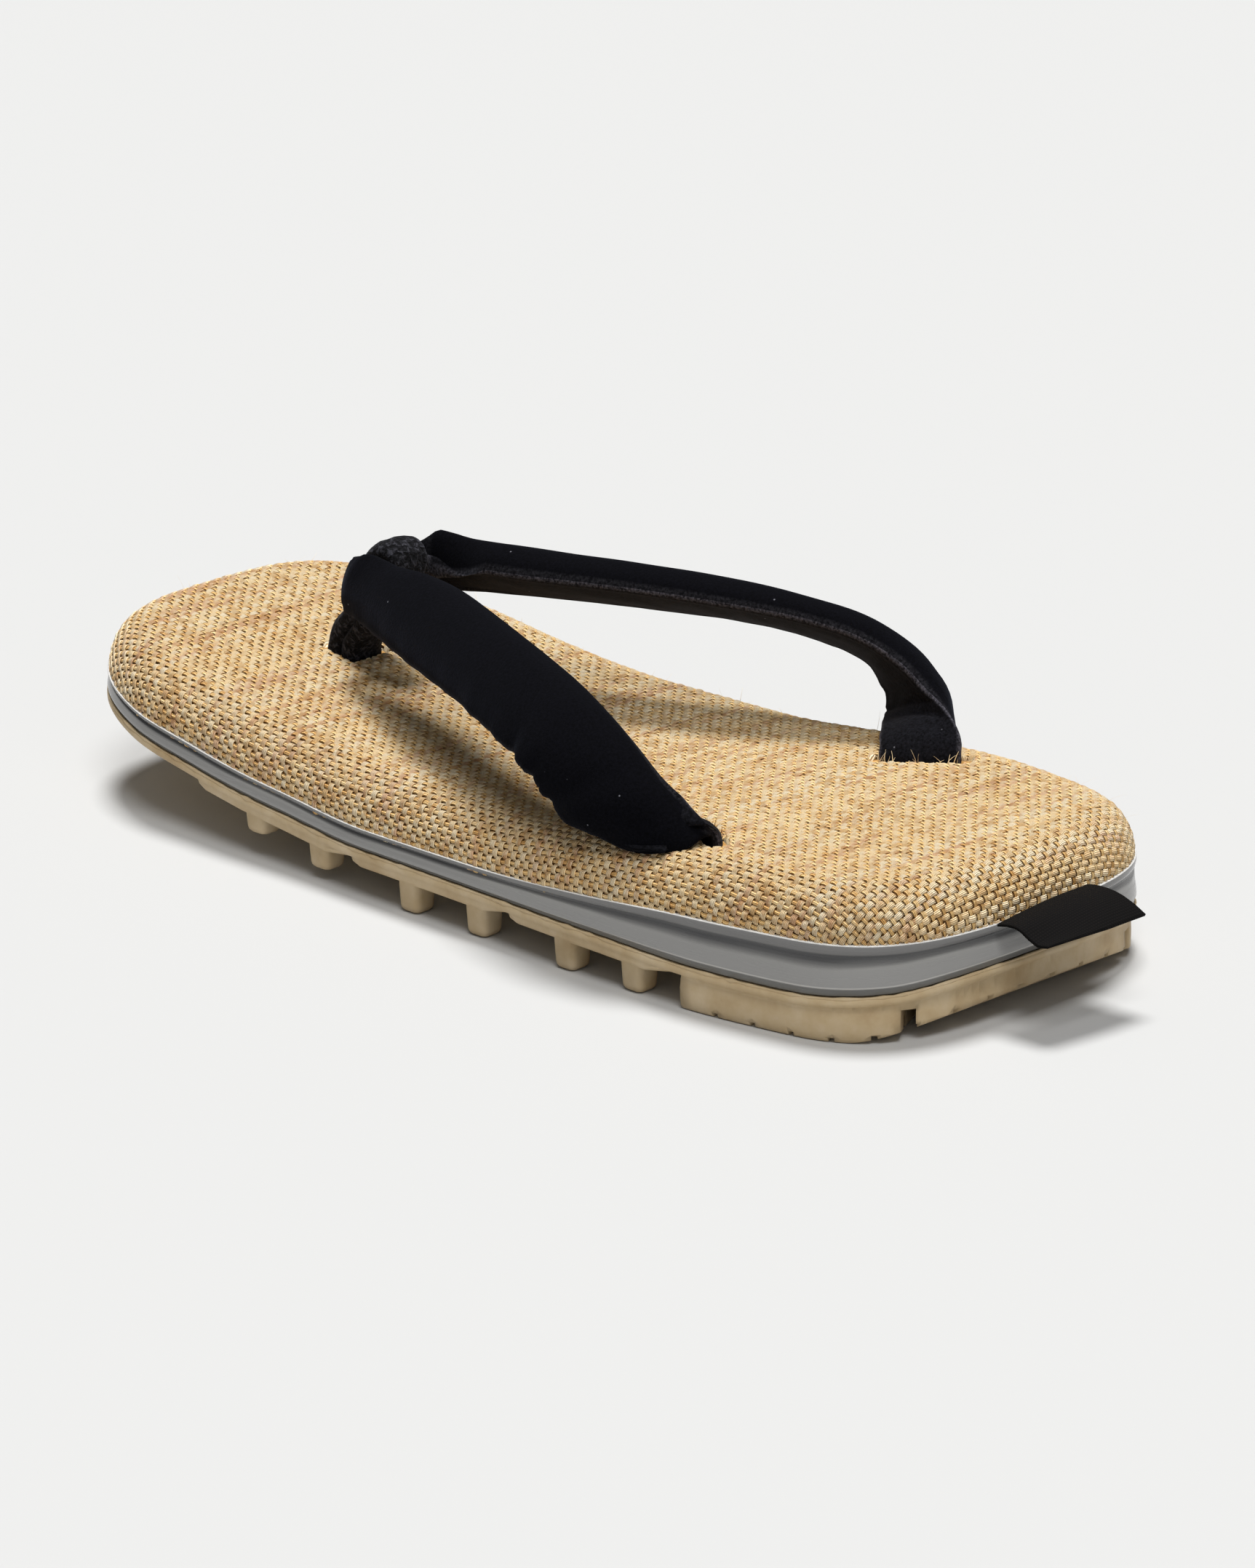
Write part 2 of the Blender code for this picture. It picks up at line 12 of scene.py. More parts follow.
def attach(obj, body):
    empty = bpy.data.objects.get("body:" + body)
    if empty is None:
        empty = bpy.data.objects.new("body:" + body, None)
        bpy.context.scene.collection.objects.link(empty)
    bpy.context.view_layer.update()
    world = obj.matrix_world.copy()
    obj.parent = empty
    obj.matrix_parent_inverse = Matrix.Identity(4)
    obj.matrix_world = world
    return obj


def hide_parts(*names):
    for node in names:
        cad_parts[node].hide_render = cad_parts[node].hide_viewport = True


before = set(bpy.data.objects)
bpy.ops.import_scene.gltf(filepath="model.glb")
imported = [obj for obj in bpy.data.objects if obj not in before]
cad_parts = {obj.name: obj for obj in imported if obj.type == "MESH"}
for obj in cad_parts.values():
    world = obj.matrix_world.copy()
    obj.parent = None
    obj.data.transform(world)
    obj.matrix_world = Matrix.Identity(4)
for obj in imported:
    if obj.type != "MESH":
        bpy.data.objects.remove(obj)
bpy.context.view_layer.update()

# Outsole: one moulding of gum rubber with a rounded rim, three bars, rows of lugs and a heel
# block with a curved groove and short sipes. It comes satin out of the mould, a little dusty.
MM = 0.001
FIT_GAP = 0.3 * MM
SOLE_LENGTH = 270 * MM
WIDTH = 114.8 * MM
HEEL_HEIGHT = 23.2 * MM
HEEL_WALL = 12.3 * MM
STRAP_HEIGHT = 61.2 * MM
LABEL_REACH = 16.5 * MM
MIDDLE = (SOLE_LENGTH - FIT_GAP - LABEL_REACH) / 2
HEEL_CAP, HEEL_SQUARENESS = 46 * MM, 3.04
TOE_CAP, TOE_SQUARENESS = 87 * MM, 3.07
RIM_THICK = 2.4 * MM
BAR_THICK = 2.0 * MM
GUM_TAN, GUM_SHADE, GUM_DUST = "#BDA783", "#AE956F", "#CDBB9D"

# Sole: share of the length, then half width, seam and clear wall as shares of WIDTH,
# HEEL_HEIGHT and HEEL_WALL
SOLE_ROWS = np.array([
    (0.00, 0.4652, 1.0000, 0.7480),
    (0.03, 0.4652, 0.9957, 0.9268),
    (0.10, 0.4652, 0.9871, 1.0000),
    (0.20, 0.4895, 0.9569, 0.9350),
    (0.32, 0.5000, 0.8534, 0.6504),
    (0.45, 0.4834, 0.7457, 0.4553),
    (0.58, 0.4765, 0.7328, 0.4146),
    (0.70, 0.4634, 0.8319, 0.4146),
    (0.80, 0.4634, 0.9828, 0.4146),
    (0.88, 0.4791, 1.1293, 0.3984),
    (1.00, 0.4791, 1.3319, 0.3659),
])


def sole_column(y, column):
    """Monotone cubic through a column of SOLE_ROWS, for one y or many."""
    x, h = SOLE_ROWS[:, 0], SOLE_ROWS[:, column] * (1, WIDTH, HEEL_HEIGHT, HEEL_WALL)[column]
    step, slope = np.diff(x), np.diff(h) / np.diff(x)
    left, right = slope[:-1], slope[1:]
    both = np.where(left * right > 0, 2 * left * right / (left + right + 1e-12), 0.0)
    tangent = np.concatenate([slope[:1], both, slope[-1:]])
    share = np.clip(np.asarray(y, float) / SOLE_LENGTH, 0, 1)
    k = np.clip(np.searchsorted(x, share, side="right") - 1, 0, len(x) - 2)
    t = (share - x[k]) / step[k]
    return (
        h[k] * (1 + 2 * t) * (1 - t) ** 2
        + tangent[k] * step[k] * t * (1 - t) ** 2
        + h[k + 1] * t * t * (3 - 2 * t)
        + tangent[k + 1] * step[k] * t * t * (t - 1)
    )


def seam_z(y):
    return sole_column(y, 2)


def tray_z(y):
    """Underside of the clear tray."""
    return sole_column(y, 2) - sole_column(y, 3)


def sole_outline(half_points):
    """Evenly spaced closed plan of the sole with its outward normals, from the middle of the heel."""
    a = np.linspace(0, math.pi / 2, 300)
    heel_y = HEEL_CAP * (1 - np.cos(a) ** (2 / HEEL_SQUARENESS))
    heel_x = sole_column(heel_y, 1) * np.sin(a) ** (2 / HEEL_SQUARENESS)
    side_y = np.linspace(HEEL_CAP, SOLE_LENGTH - TOE_CAP, 300)[1:-1]
    toe_y = SOLE_LENGTH - TOE_CAP + TOE_CAP * np.sin(a) ** (2 / TOE_SQUARENESS)
    toe_x = sole_column(toe_y, 1) * np.cos(a) ** (2 / TOE_SQUARENESS)
    x = np.concatenate([heel_x, sole_column(side_y, 1), toe_x])
    y = np.concatenate([heel_y, side_y, toe_y])
    walk = np.concatenate([[0], np.cumsum(np.hypot(np.diff(x), np.diff(y)))])
    even = np.linspace(0, walk[-1], half_points + 1)
    right = np.stack([np.interp(even, walk, x), np.interp(even, walk, y)], 1)
    right[0, 0] = right[-1, 0] = 0
    plan = np.concatenate([right, (right * (-1, 1))[-2:0:-1]])
    tangent = np.roll(plan, -1, axis=0) - np.roll(plan, 1, axis=0)
    tangent /= np.linalg.norm(tangent, axis=1)[:, None]
    return plan, np.stack([tangent[:, 1], -tangent[:, 0]], 1)


PLAN, PLAN_OUT = sole_outline(150)


def sole_ring(inset, height, toward_spine=0.0):
    """Loop inside the plan; height is a function of y."""
    points = PLAN - PLAN_OUT * inset
    spine_y = np.clip(points[:, 1], HEEL_CAP, SOLE_LENGTH - TOE_CAP * 0.7)
    x = points[:, 0] * (1 - toward_spine)
    y = points[:, 1] + (spine_y - points[:, 1]) * toward_spine
    return np.stack([x, y, height(y)], 1)


def skin(bm, loops, cap=False):
    """Draws the first loop and extrudes it on through the others; cap closes both ends."""
    ring = [bm.verts.new(p) for p in loops[0]]
    edges = [bm.edges.new(pair) for pair in zip(ring, ring[1:] + ring[:1])]
    if cap:
        bmesh.ops.contextual_create(bm, geom=edges)
    for loop in loops[1:]:
        made = bmesh.ops.extrude_edge_only(bm, edges=edges)["geom"]
        edges = [g for g in made if isinstance(g, bmesh.types.BMEdge)]
        fresh = {g for g in made if isinstance(g, bmesh.types.BMVert)}
        following = []
        for old in ring:
            following.append(next(e.other_vert(old) for e in old.link_edges if e.other_vert(old) in fresh))
        ring = following
        for vert, p in zip(ring, loop):
            vert.co = p
        edges = [bm.edges.get(pair) for pair in zip(ring, ring[1:] + ring[:1])]
    if cap:
        bmesh.ops.contextual_create(bm, geom=edges)
    return bm


def settle(name, bm, moved=True):
    """Object of the welded mesh, faces outward, smooth, in the part's own place."""
    bmesh.ops.remove_doubles(bm, verts=bm.verts, dist=0.01 * MM)
    bmesh.ops.recalc_face_normals(bm, faces=bm.faces)
    if moved:
        bmesh.ops.translate(bm, verts=bm.verts, vec=(0, -MIDDLE, 0))
    for face in bm.faces:
        face.smooth = True
    mesh = bpy.data.meshes.new(name)
    bm.to_mesh(mesh)
    bm.free()
    piece = bpy.data.objects.new(name, mesh)
    bpy.context.scene.collection.objects.link(piece)
    return piece


def apply_modifiers(piece):
    """Replaces the piece's mesh by what its modifiers make of it."""
    bpy.context.view_layer.update()
    made = bpy.data.meshes.new_from_object(piece.evaluated_get(bpy.context.evaluated_depsgraph_get()))
    piece.modifiers.clear()
    piece.data = made


def combine(piece, bm, operation, moved=True):
    """Exact Boolean of a finished piece with a loose mesh that is then deleted."""
    tool = settle("tool", bm, moved)
    modifier = piece.modifiers.new("combine", "BOOLEAN")
    modifier.operation = operation
    modifier.solver = "EXACT"
    modifier.object = tool
    apply_modifiers(piece)
    bpy.data.objects.remove(tool, do_unlink=True)


def linear(hex_colour):
    """sRGB hex to linear RGBA."""
    parts = [int(hex_colour[i : i + 2], 16) / 255 for i in (1, 3, 5)]
    return (*[c / 12.92 if c <= 0.04045 else ((c + 0.055) / 1.055) ** 2.4 for c in parts], 1)


def new_material(name, hex_colour, roughness, **sockets):
    """Principled material; a socket's name has its spaces as underscores."""
    material = bpy.data.materials.new(name)
    material.use_nodes = True
    shader = material.node_tree.nodes["Principled BSDF"]
    shader.inputs["Base Color"].default_value = linear(hex_colour)
    shader.inputs["Roughness"].default_value = roughness
    for key, value in sockets.items():
        shader.inputs[key.replace("_", " ")].default_value = value
    return material


def add(material, kind, settings=None, **links):
    """Adds a node with its settings; a link is a socket's name or number with a value or an output."""
    made = material.node_tree.nodes.new(kind)
    for key, value in (settings or {}).items():
        setattr(made, key, value)
    for key, value in links.items():
        socket = made.inputs[int(key[1:])] if key[0] == "_" else made.inputs[key]
        if isinstance(value, bpy.types.NodeSocket):
            material.node_tree.links.new(value, socket)
        else:
            socket.default_value = value
    return made


def join(material, output, socket):
    """Links an output to a socket of the material's shader."""
    shader = material.node_tree.nodes["Principled BSDF"]
    material.node_tree.links.new(output, shader.inputs[socket])


def ramp(material, factor, stops):
    """Colour ramp; stops are places with hex colours or greys."""
    made = add(material, "ShaderNodeValToRGB", Fac=factor)
    elements = made.color_ramp.elements
    while len(elements) < len(stops):
        elements.new(0.5)
    for element, (place, tone) in zip(elements, stops):
        element.position = place
        element.color = linear(tone) if isinstance(tone, str) else (tone, tone, tone, 1)
    return made.outputs["Color"]


def object_place(material):
    """Object coordinates of the piece, in metres."""
    return add(material, "ShaderNodeTexCoord").outputs["Object"]


def noise_map(material, place, scale, detail, **more):
    """Noise texture between 0 and 1."""
    made = add(material, "ShaderNodeTexNoise", Vector=place, Scale=scale, Detail=detail, **more)
    return made.outputs["Fac"]


def relief(material, height, strength, distance):
    """Fine relief on the material's surface."""
    bump = add(material, "ShaderNodeBump", Strength=strength, Distance=distance, Height=height)
    join(material, bump.outputs["Normal"], "Normal")


def mix(material, factor, a, b, blend="MIX"):
    """Colour mix of two outputs or hex colours."""
    made = add(material, "ShaderNodeMix", {"data_type": "RGBA", "blend_type": blend}, _0=factor)
    for socket, value in ((made.inputs[6], a), (made.inputs[7], b)):
        if isinstance(value, str):
            socket.default_value = linear(value)
        else:
            material.node_tree.links.new(value, socket)
    return made.outputs[2]


def finish_piece(piece, slot, *materials):
    """Gives the piece its materials and its body; slot is not used."""
    piece.data.materials.clear()
    for material in materials:
        piece.data.materials.append(material)
    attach(piece, "root")


def plate_top(y):
    return tray_z(y) - FIT_GAP


def plate_low(y):
    return plate_top(y) - RIM_THICK


def half_width_at(y):
    right = PLAN[: len(PLAN) // 2 + 1]
    return float(np.interp(y, right[:, 1], right[:, 0]))


# Side of the rim: inset in mm, share of its thickness from the top
RIM_SIDE = [
    (0.9, 0.0), (0.45, 0.06), (0.15, 0.2), (0.0, 0.42), (0.05, 0.62), (0.3, 0.82), (0.7, 0.95), (1.2, 1.0),
]
RIM_BORDER = 6 * MM
rim_loops = [sole_ring(RIM_BORDER, plate_top, share) for share in (1.0, 0.5, 0.0)]
for inset, share in RIM_SIDE:
    rim_loops.append(sole_ring(inset * MM, lambda y: plate_top(y) - share * RIM_THICK))
rim_loops += [sole_ring(RIM_BORDER, plate_low, share) for share in (0.0, 0.5, 1.0)]
outsole = settle("outsole_rubber", skin(bmesh.new(), rim_loops))

# Bars under the rim: rear and front end in mm; each thins to its rear end and ends in front with
# a rounded step. Along a bar: share of its length, share of its thickness, mm less at each side.
BARS = [(60.0, 110.0), (111.5, 162.0), (163.5, 215.0)]
BAR_STEPS = [
    (0, 0.25, 0), (0.14, 1, 0), (0.4, 1, 0), (0.7, 1, 0), (0.93, 1, 0), (0.985, 0.8, 0.5), (1, 0.5, 1.2),
]
# Side of a bar from its foot up: inset and height in mm
BAR_SIDE = [(2.2, 0.0), (1.0, 0.12), (0.3, 0.6), (0.0, 1.4)]
BAR_INSET = 0.4
bars = bmesh.new()
for rear, front in BARS:
    bar_loops = []
    for share, thick, narrow in BAR_STEPS:
        y = (rear + (front - rear) * share) * MM
        x = half_width_at(y) - (BAR_INSET + narrow) * MM
        low = plate_low(y) - BAR_THICK * thick
        side = [(x - inset * MM, low + rise * MM) for inset, rise in BAR_SIDE]
        side.append((x - 0.3 * MM, plate_low(y) + 0.5 * RIM_THICK))
        bar_loops.append([(sx, y, z) for sx, z in side] + [(-sx, y, z) for sx, z in side[::-1]])
    skin(bars, bar_loops, cap=True)
combine(outsole, bars, "UNION")

# Rows of lugs: place along the sole and height of the foot, in mm
LUG_ROWS = [(71.5, 0), (92, 0), (121.5, 0), (143.5, 0), (174, 2.6), (195.5, 5.8)]
LUG_SIDE, LUG_PITCH, LUG_SIDE_INSET = 7.0 * MM, 17 * MM, 1.2 * MM
LUG_TAPER, LUG_ROUND, LUG_OVERLAP = 0.88, 1.7 * MM, 1.6 * MM
lugs = bmesh.new()
for row_y, foot in LUG_ROWS:
    y, foot = row_y * MM, foot * MM
    reach = half_width_at(y) - LUG_SIDE_INSET - LUG_SIDE / 2
    inner = [i * LUG_PITCH for i in range(-3, 4) if abs(i * LUG_PITCH) < reach - LUG_PITCH * 0.6]
    top = plate_low(y) - BAR_THICK + LUG_OVERLAP
    for x in [-reach, *inner, reach]:
        lug = bmesh.new()
        bmesh.ops.create_cube(lug, size=1)
        for v in lug.verts:
            upper = v.co.z > 0
            size = LUG_SIDE * (1 if upper else LUG_TAPER)
            v.co = (x + v.co.x * size, y + v.co.y * size, top if upper else foot)
        soft = [e for e in lug.edges if min(e.verts[0].co.z, e.verts[1].co.z) < top - 0.1 * MM]
        bmesh.ops.bevel(lug, geom=soft, offset=LUG_ROUND, segments=3, profile=0.5, affect="EDGES")
        spare = bpy.data.meshes.new("spare")
        lug.to_mesh(spare)
        lug.free()
        lugs.from_mesh(spare)
        bpy.data.meshes.remove(spare)
combine(outsole, lugs, "UNION")

# Side of the heel block: inset and height in mm; the last height ends inside the rim
BLOCK_SIDE = [(3.0, 0), (2.0, 0.05), (1.5, 0.35), (1.25, 1.0), (1.15, 2.4), (1.1, 5.0), (1.2, 7.0), (1.4, 99)]
BLOCK_FRONT = 56.5 * MM
block_half = int(np.searchsorted(PLAN[: len(PLAN) // 2, 1], BLOCK_FRONT - 1.5 * MM))
block_loops = []
for inset, rise in BLOCK_SIDE:
    right = [tuple(PLAN[i] - PLAN_OUT[i] * inset * MM) for i in range(block_half)]
    right.append((half_width_at(BLOCK_FRONT) - inset * MM, BLOCK_FRONT - max(0, inset - 1.1) * MM))
    plan = right + [(-x, y) for x, y in right[:0:-1]]
    block_loops.append([(x, y, min(rise * MM, plate_low(y) + 0.4 * RIM_THICK)) for x, y in plan])
heel_block = settle("heel_block", skin(bmesh.new(), block_loops, cap=True))

# Back of the block lifts off the ground like a worn heel
LIFT_LENGTH, LIFT_RISE = 18 * MM, 7.0 * MM
lift = [(y, LIFT_RISE * (1 - y / LIFT_LENGTH) ** 2) for y in np.linspace(0, LIFT_LENGTH * 0.85, 8)]
lift = [(-6 * MM, 12 * MM), *lift, (LIFT_LENGTH, -0.5 * MM), (-6 * MM, -2 * MM)]
lift_ends = [[(x, y, z) for y, z in lift] for x in (-70 * MM, 70 * MM)]
combine(heel_block, skin(bmesh.new(), lift_ends, cap=True), "DIFFERENCE")

# Groove across the block, its ends falling back toward the heel, and sipes round its edge
GROOVE_PLACE, GROOVE_FALL, GROOVE_SPAN = 20.5 * MM, 17.4 * MM, 40 * MM
GROOVE_HALF, GROOVE_TOP, BELOW = 1.6 * MM, 7.6 * MM, -2 * MM
SIPE_PITCH, SIPE_HALF, SIPE_TOP = 10 * MM, 0.75 * MM, 1.2 * MM
xs = np.linspace(-60 * MM, 60 * MM, 41)
ys = GROOVE_PLACE - GROOVE_FALL * (xs / GROOVE_SPAN) ** 2
run = np.stack([np.gradient(xs), np.gradient(ys)], 1)
run /= np.linalg.norm(run, axis=1)[:, None]
groove_loops = []
for x, y, (dx, dy) in zip(xs, ys, run):
    near = (x - dy * GROOVE_HALF, y + dx * GROOVE_HALF)
    far = (x + dy * GROOVE_HALF, y - dx * GROOVE_HALF)
    groove_loops.append([(*near, BELOW), (*far, BELOW), (*far, GROOVE_TOP), (*near, GROOVE_TOP)])
combine(heel_block, skin(bmesh.new(), groove_loops, cap=True), "DIFFERENCE")
sipes = bmesh.new()
half = PLAN[: len(PLAN) // 2]
walk = np.concatenate([[0], np.cumsum(np.hypot(*np.diff(half, axis=0).T))])
for side in (1, -1):
    for k in range(9):
        distance = (k + 0.5) * SIPE_PITCH
        point = np.array([np.interp(distance, walk, half[:, j]) for j in (0, 1)])
        out = np.array([np.interp(distance, walk, PLAN_OUT[: len(half), j]) for j in (0, 1)])
        out /= np.linalg.norm(out)
        if point[1] > BLOCK_FRONT - 3 * MM:
            continue
        across = np.array([-out[1], out[0]]) * SIPE_HALF
        top = LIFT_RISE * max(0.0, 1 - (point[1] + 2 * MM) / LIFT_LENGTH) ** 2 + SIPE_TOP
        outer, inner = point + out * 2 * MM, point - out * 10 * MM
        corners = [outer + across, inner + across, inner - across, outer - across]
        skin(sipes, [[(side * p[0], p[1], z) for p in corners] for z in (BELOW, top)], cap=True)
combine(heel_block, sipes, "DIFFERENCE")
block_bm = bmesh.new()
block_bm.from_mesh(heel_block.data)
bpy.data.objects.remove(heel_block, do_unlink=True)
combine(outsole, block_bm, "UNION", moved=False)

# Flash: a thin uneven skin of rubber squeezed out where the rim meets the tray, a cord of
# wavering size round the whole plan
flash_loops = []
for turn in np.linspace(0, 2 * math.pi, 7)[:-1]:
    ring = sole_ring(0.4 * MM, plate_top)
    size = np.array([0.34 + 0.42 * noise.noise(Vector((p[0] * 420, p[1] * 420, 0))) for p in ring]) * MM
    ring[:, :2] += PLAN_OUT * (size * math.cos(turn))[:, None]
    ring[:, 2] += size * math.sin(turn) - 0.15 * MM
    flash_loops.append(ring)
flash = settle("outsole_flash", skin(bmesh.new(), [*flash_loops, flash_loops[0]]))

# Satin gum rubber, moulded: soft broad highlight, faint clouds from shade to a dusty bloom
rubber = new_material("gum_rubber_moulded", GUM_TAN, 0.58, IOR=1.52, Specular_IOR_Level=0.35)
place = object_place(rubber)
cloud = noise_map(rubber, place, 90.0, 4.0, Roughness=0.6)
tone = ramp(rubber, cloud, [(0.3, GUM_SHADE), (0.5, GUM_TAN), (0.78, GUM_DUST)])
join(rubber, tone, "Base Color")
grain = noise_map(rubber, place, 1500.0, 3.0)
relief(rubber, grain, 0.12, 0.0002)
finish_piece(outsole, "outsole", rubber)
finish_piece(flash, "outsole", rubber)
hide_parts("outsole")

# Tray: a clear smoky plastic moulding cemented on the rubber, with a raised lip that holds the
# pad. Its wall is glossy and grey, with painted highlight lines and darker bands of painted shade.
TRAY_WALL, TRAY_FLOOR = 2.4 * MM, 1.4 * MM
# Wall tone, painted shade of the inner step, and painted shade of the reflected floor along the foot
SMOKE, SMOKE_PAINTED_SHADE, SMOKE_FOOT_PAINTED_SHADE = "#8F8E8C", "#454546", "#696967"
# Outside of the wall: inset in mm, share of its height from the ground side
TRAY_SIDE = [
    (0.9, 0.0), (0.55, 0.03), (0.45, 0.15), (0.15, 0.175), (0.1, 0.19), (0.2, 0.3), (0.45, 0.45),
    (0.6, 0.58), (0.65, 0.66), (0.95, 0.72), (0.9, 0.78), (0.45, 0.82), (0.3, 0.88), (0.22, 0.95),
    (0.26, 0.985), (0.5, 1.0),
]
tray_loops = [sole_ring(TRAY_WALL, tray_z, share) for share in (1.0, 0.5, 0.0)]
for inset, share in TRAY_SIDE:
    tray_loops.append(sole_ring(inset * MM, lambda y: tray_z(y) + share * (seam_z(y) - tray_z(y))))
tray_loops.append(sole_ring(TRAY_WALL, seam_z))
tray_loops += [sole_ring(TRAY_WALL, lambda y: tray_z(y) + TRAY_FLOOR, share) for share in (0.0, 0.5, 1.0)]
tray = settle("midsole_tray", skin(bmesh.new(), tray_loops))
# How high up the wall each point lies, for the painted highlight and shade bands of its material
points = np.empty(len(tray.data.vertices) * 3)
tray.data.vertices.foreach_get("co", points)
points = points.reshape(-1, 3)
y = points[:, 1] + MIDDLE
share = (points[:, 2] - tray_z(y)) / (seam_z(y) - tray_z(y))
tray.data.attributes.new("wall_share", "FLOAT", "POINT").data.foreach_set("value", share.astype(np.float32))


def attribute(material, name):
    """Value of a point attribute of the mesh."""
    return add(material, "ShaderNodeAttribute", {"attribute_name": name}).outputs["Fac"]


def stretched(material, place, scale, shift=(0.0, 0.0, 0.0)):
    """Place with its axes scaled and shifted."""
    return add(material, "ShaderNodeMapping", Vector=place, Location=shift, Scale=scale).outputs["Vector"]


def maths(material, operation, *values):
    """Result of a maths node on outputs or numbers."""
    links = {f"_{i}": value for i, value in enumerate(values)}
    return add(material, "ShaderNodeMath", {"operation": operation}, **links).outputs[0]


# Smoky plastic, moulded: glossy but scratched, painted highlight lines at its two lips, painted shade in
# darker bands between
smoke = new_material(
    "smoky_tpu_moulded", SMOKE, 0.24, IOR=1.5, Specular_IOR_Level=0.35, Coat_Weight=0.15, Coat_Roughness=0.06
)
place = object_place(smoke)
share = attribute(smoke, "wall_share")
# painted shade: the shaded step inside shows through as a dark wedge that drifts up and down along the wall
drift_at = stretched(smoke, place, (24.0, 24.0, 0.0))
drift = noise_map(smoke, drift_at, 1.0, 1.0)
moved = maths(smoke, "MULTIPLY_ADD", drift, 0.5, share)
wedge = ramp(smoke, moved, [(0.78, 0.0), (0.84, 0.55), (0.93, 0.8), (1.0, 1.0)])
inside = ramp(smoke, share, [(0.45, 0.0), (0.6, 1.0), (0.78, 1.0), (0.82, 0.0)])
dark = maths(smoke, "MULTIPLY", wedge, inside)
# Share up the wall and tone: a darker foot of painted reflected floor shadow, a pale painted highlight line
# at its edge, the plain wall, darker painted shade below the lip and a pale painted highlight line on the lip
WALL_PAINTED_LIGHT_BANDS = [
    (0.0, SMOKE_FOOT_PAINTED_SHADE), (0.13, SMOKE_FOOT_PAINTED_SHADE), (0.165, "#C9C7C4"), (0.19, SMOKE), (0.42, SMOKE),
    (0.62, "#92918E"), (0.8, "#6E6D6C"), (0.93, "#747372"), (0.975, "#7B7A79"), (0.99, "#E4E3E0"),
]
bands = ramp(smoke, share, WALL_PAINTED_LIGHT_BANDS)
join(smoke, mix(smoke, dark, bands, SMOKE_PAINTED_SHADE), "Base Color")
scratch_at = stretched(smoke, place, (60.0, 60.0, 900.0))
scratch = noise_map(smoke, scratch_at, 1.0, 5.0, Roughness=0.7)
join(smoke, ramp(smoke, scratch, [(0.35, 0.12), (0.7, 0.4)]), "Roughness")
wave = noise_map(smoke, drift_at, 3.0, 2.0)
relief(smoke, wave, 0.25, 0.0006)
finish_piece(tray, "midsole", smoke)
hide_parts("midsole")

# Pad core: firm foam in a felt cover, lying in the tray and round at its upper edge; only its
# shade shows between the strands of the cloth
PAD_RISE, PAD_ROUND, PAD_INSET = 11.6 * MM, 10.9 * MM, 0.7 * MM
CORE_DEPTH = 1.15 * MM


def core_low(y):
    return tray_z(y) + TRAY_FLOOR + FIT_GAP


def core_top(y):
    return seam_z(y) + FIT_GAP + PAD_RISE - CORE_DEPTH


core_loops = [sole_ring(TRAY_WALL + FIT_GAP, core_low, share) for share in (1.0, 0.5, 0.0)]
core_loops.append(sole_ring(TRAY_WALL + FIT_GAP, lambda y: seam_z(y) + FIT_GAP))
for turn in np.linspace(0, math.pi / 2, 9):
    inset = PAD_INSET + PAD_ROUND - (PAD_ROUND - CORE_DEPTH) * math.cos(turn)
    rise = (PAD_RISE - CORE_DEPTH) * math.sin(turn)
    core_loops.append(sole_ring(inset, lambda y: seam_z(y) + FIT_GAP + rise))
core_loops += [sole_ring(PAD_INSET + PAD_ROUND, core_top, share) for share in (0.3, 0.65, 1.0)]
core = settle("footbed_core", skin(bmesh.new(), core_loops))
felt = new_material("felt_underlay", "#6E5230", 0.95)
place = object_place(felt)
fuzz = noise_map(felt, place, 900.0, 2.0)
join(felt, ramp(felt, fuzz, [(0.3, "#A9793C"), (0.7, "#C99C5A")]), "Base Color")
finish_piece(core, "footbed", felt)
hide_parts("footbed")

# Woven cover: plain weave of flat straw wefts across the foot and thin round warps along it,
# drawn over the pad's round edge and tucked behind the tray's lip
WARP_PITCH, WEFT_PITCH = 1.75 * MM, 1.53 * MM
WEFT_WIDTH, WEFT_THICK, WEFT_CRIMP = 1.42 * MM, 0.42 * MM, 0.4 * MM
WARP_WIDTH, WARP_THICK, WARP_CRIMP = 0.95 * MM, 0.58 * MM, 0.24 * MM
CLOTH_DEPTH = 0.42 * MM
TUCK = 1.5 * MM
# Wefts between the heel and the middle of the warps
MIDDLE_WEFT = 88
EDGE_ARC = math.pi / 4 * (PAD_ROUND + PAD_RISE)
SLOT_REAR, SLOT_FRONT, SLOT_HALF = np.array((39.8, 60.0)) * MM, np.array((30.6, 76.6)) * MM, 2.9 * MM
HOLE_HALF, HOLE_REAR, HOLE_FRONT = 6.3 * MM, 209.3 * MM, 220.9 * MM
TURN_WIDTH, TURN_DEPTH = 1.2 * MM, 3.4 * MM

GRID_STEP = 1.0 * MM
grid_u = np.arange(-82, 83) * GRID_STEP
grid_v = np.arange(-28, 300) * GRID_STEP
plateau = PLAN - PLAN_OUT * (PAD_INSET + PAD_ROUND)
flat_u, flat_v = [g.ravel() for g in np.meshgrid(grid_u, grid_v, indexing="ij")]
nearest_u, nearest_v, beyond = np.empty_like(flat_u), np.empty_like(flat_u), np.empty_like(flat_u)
for start in range(0, len(flat_u), 4096):
    part = slice(start, start + 4096)
    du = flat_u[part, None] - plateau[None, :, 0]
    dv = flat_v[part, None] - plateau[None, :, 1]
    near = np.argmin(du * du + dv * dv, axis=1)
    tangent = np.stack([-PLAN_OUT[near, 1], PLAN_OUT[near, 0]], 1)
    offset = np.stack([flat_u[part] - plateau[near, 0], flat_v[part] - plateau[near, 1]], 1)
    slide = np.clip((offset * tangent).sum(1), -1.2 * MM, 1.2 * MM)
    foot = plateau[near] + tangent * slide[:, None]
    nearest_u[part], nearest_v[part] = foot.T
    beyond[part] = (offset * PLAN_OUT[near]).sum(1)
outside = beyond > 0
